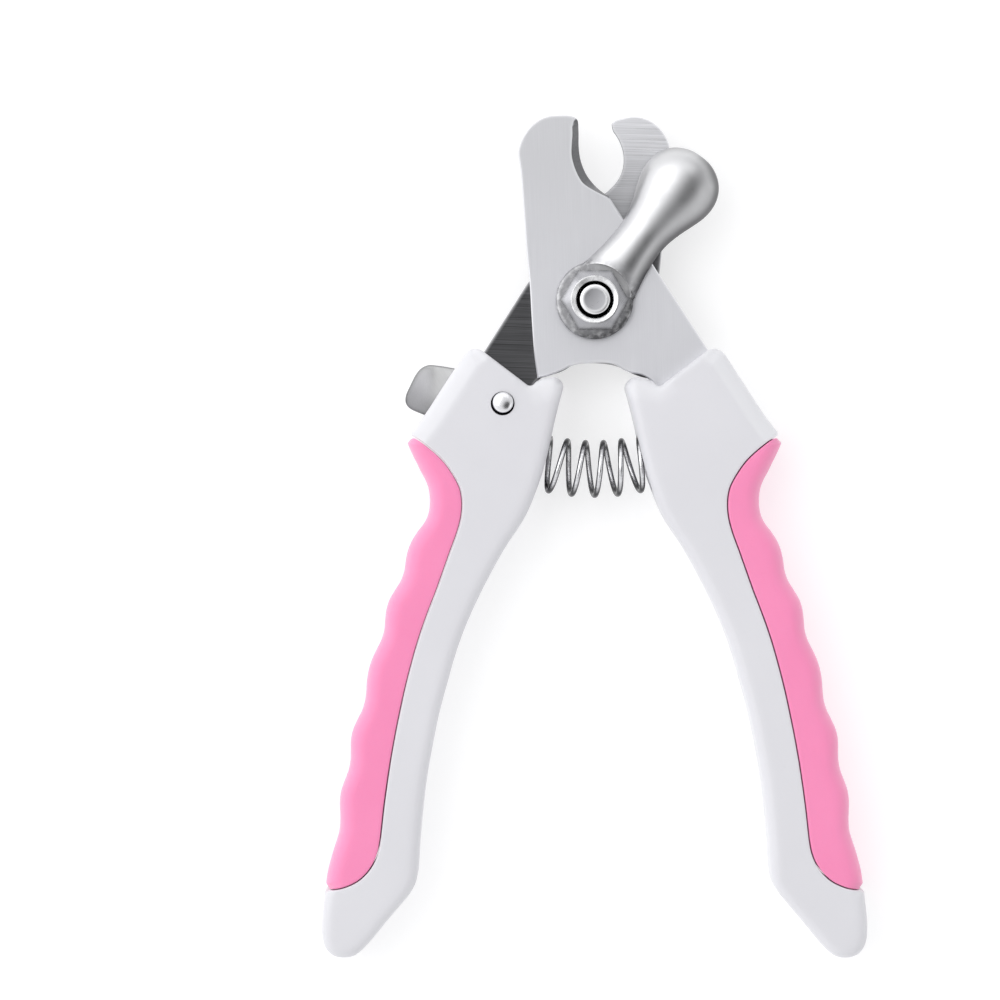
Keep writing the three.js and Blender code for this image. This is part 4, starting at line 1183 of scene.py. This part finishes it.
carve(lh, prism("cut", tab_room + RIVET, 1.5, 3.95), 38.0)
carve(lh, prism("cut", arm_room_pts + RIVET, 1.5, 3.95), 38.0)
carve(lh, prism("cut", circle(4.3, 0.4, RIVET), 1.5, 3.95), 38.0)
carve(lh, prism("cut", circle(2.15, 0.3, RIVET), -1.0, 0.95), 38.0)
carve(lh, prism("cut", circle(2.12, 0.15, RIVET + np.array([-0.06, -0.2])), 13.38, 15.0), 38.0)
carve(lh, socket_cutter(-1), 38.0)
carve(rh, socket_cutter(1), 38.0)
carve(rh, prism("cut", rot(arm_room_pts + RIVET, SQUEEZE), 1.5, 3.95), 38.0)
for ob, nodes_, slot_, body in ((lh, "left_handle", "handle_white", "left_arm"), (rh, "right_handle", "handle_white", "right_arm"),
                                (lg, "left_grip", "grip_pink", "left_arm"), (rg, "right_grip", "grip_pink", "right_arm")):
    finish(ob, nodes_, slot_, body)

# ---- floor, light, camera ------------------------------------------------------------------------------------------
fm = Mat("floor_pale", (0.93, 0.93, 0.935), 0.75)
fm.color(fm.mix(fm.span(fm.noise(0.01, 3.0), 0.0, 1.0), (0.50, 0.50, 0.503), (0.52, 0.52, 0.523)))
fm.bump(fm.noise(0.8, 3.0), 0.01, 0.3)
fm.set("Emission Color", (1.0, 1.0, 1.0, 1.0))
fm.set("Emission Strength", 0.57)
bm = bmesh.new()
bmesh.ops.create_grid(bm, x_segments=2, y_segments=2, size=2.5)
me = bpy.data.meshes.new("floor")
bm.to_mesh(me)
bm.free()
floor = bpy.data.objects.new("floor", me)
floor.location = (0, 0, -0.00005)
me.materials.append(fm.m)
bpy.context.scene.collection.objects.link(floor)


def area_light(name, at, aim, size, power, color=(1, 1, 1)):
    L = bpy.data.lights.new(name, "AREA")
    L.shape, L.size, L.size_y = "RECTANGLE", size[0], size[1]
    L.energy, L.color = power, color
    ob = bpy.data.objects.new(name, L)
    ob.location = at
    ob.rotation_euler = (Vector(aim) - Vector(at)).to_track_quat("-Z", "Y").to_euler()
    bpy.context.scene.collection.objects.link(ob)
    return ob


area_light("key", (-0.75, 0.35, 1.0), (0, 0, 0), (1.1, 1.2), 5.0)
area_light("top", (0.1, 1.2, 1.15), (0, 0, 0), (1.8, 1.1), 2.6)
area_light("fill", (0.9, -0.4, 0.8), (0, 0, 0), (0.7, 0.7), 0.6)
world = bpy.data.worlds.new("studio")
bpy.context.scene.world = world
world.use_nodes = True
wt = world.node_tree
bg = wt.nodes["Background"]
tc = node(wt, "ShaderNodeTexCoord")
sep = node(wt, "ShaderNodeSeparateXYZ")
wt.links.new(tc.outputs["Generated"], sep.inputs[0])
up = node(wt, "ShaderNodeMapRange")        # brighter walls than ceiling
for k, v in (("From Min", 0.0), ("From Max", 1.0), ("To Min", 1.1), ("To Max", 0.84)):
    up.inputs[k].default_value = v
wt.links.new(sep.outputs[2], up.inputs["Value"])
dot = node(wt, "ShaderNodeVectorMath", operation="DOT_PRODUCT")
wt.links.new(tc.outputs["Generated"], dot.inputs[0])
dot.inputs[1].default_value = tuple(Vector((0.363, -0.272, 0.891)).normalized())
flag = node(wt, "ShaderNodeMapRange", interpolation_type="SMOOTHSTEP")      # one dark card, for the metals
for k, v in (("From Min", 0.90), ("From Max", 0.975), ("To Min", 1.0), ("To Max", 0.08)):
    flag.inputs[k].default_value = v
wt.links.new(dot.outputs["Value"], flag.inputs["Value"])
side = node(wt, "ShaderNodeMapRange")      # the window side is the lighter one
for k, v in (("From Min", -1.0), ("From Max", 1.0), ("To Min", 1.2), ("To Max", 0.78)):
    side.inputs[k].default_value = v
wt.links.new(sep.outputs[0], side.inputs["Value"])
mul = node(wt, "ShaderNodeMath", operation="MULTIPLY")
wt.links.new(up.outputs[0], mul.inputs[0])
wt.links.new(flag.outputs[0], mul.inputs[1])
mul2 = node(wt, "ShaderNodeMath", operation="MULTIPLY")
wt.links.new(mul.outputs[0], mul2.inputs[0])
wt.links.new(side.outputs[0], mul2.inputs[1])
wt.links.new(mul2.outputs[0], bg.inputs[1])
bg.inputs[0].default_value = (0.985, 0.99, 1.0, 1)

cam = bpy.data.cameras.new("camera")
cam.lens, cam.sensor_width = 180.0, 36.0
cam_ob = bpy.data.objects.new("camera", cam)
cam_ob.location = (-0.01682, 0.0064, 0.893 + 0.008)
cam_ob.rotation_euler = (0, 0, 0)
bpy.context.scene.collection.objects.link(cam_ob)
bpy.context.scene.camera = cam_ob
bpy.context.scene.view_settings.view_transform = "Standard"
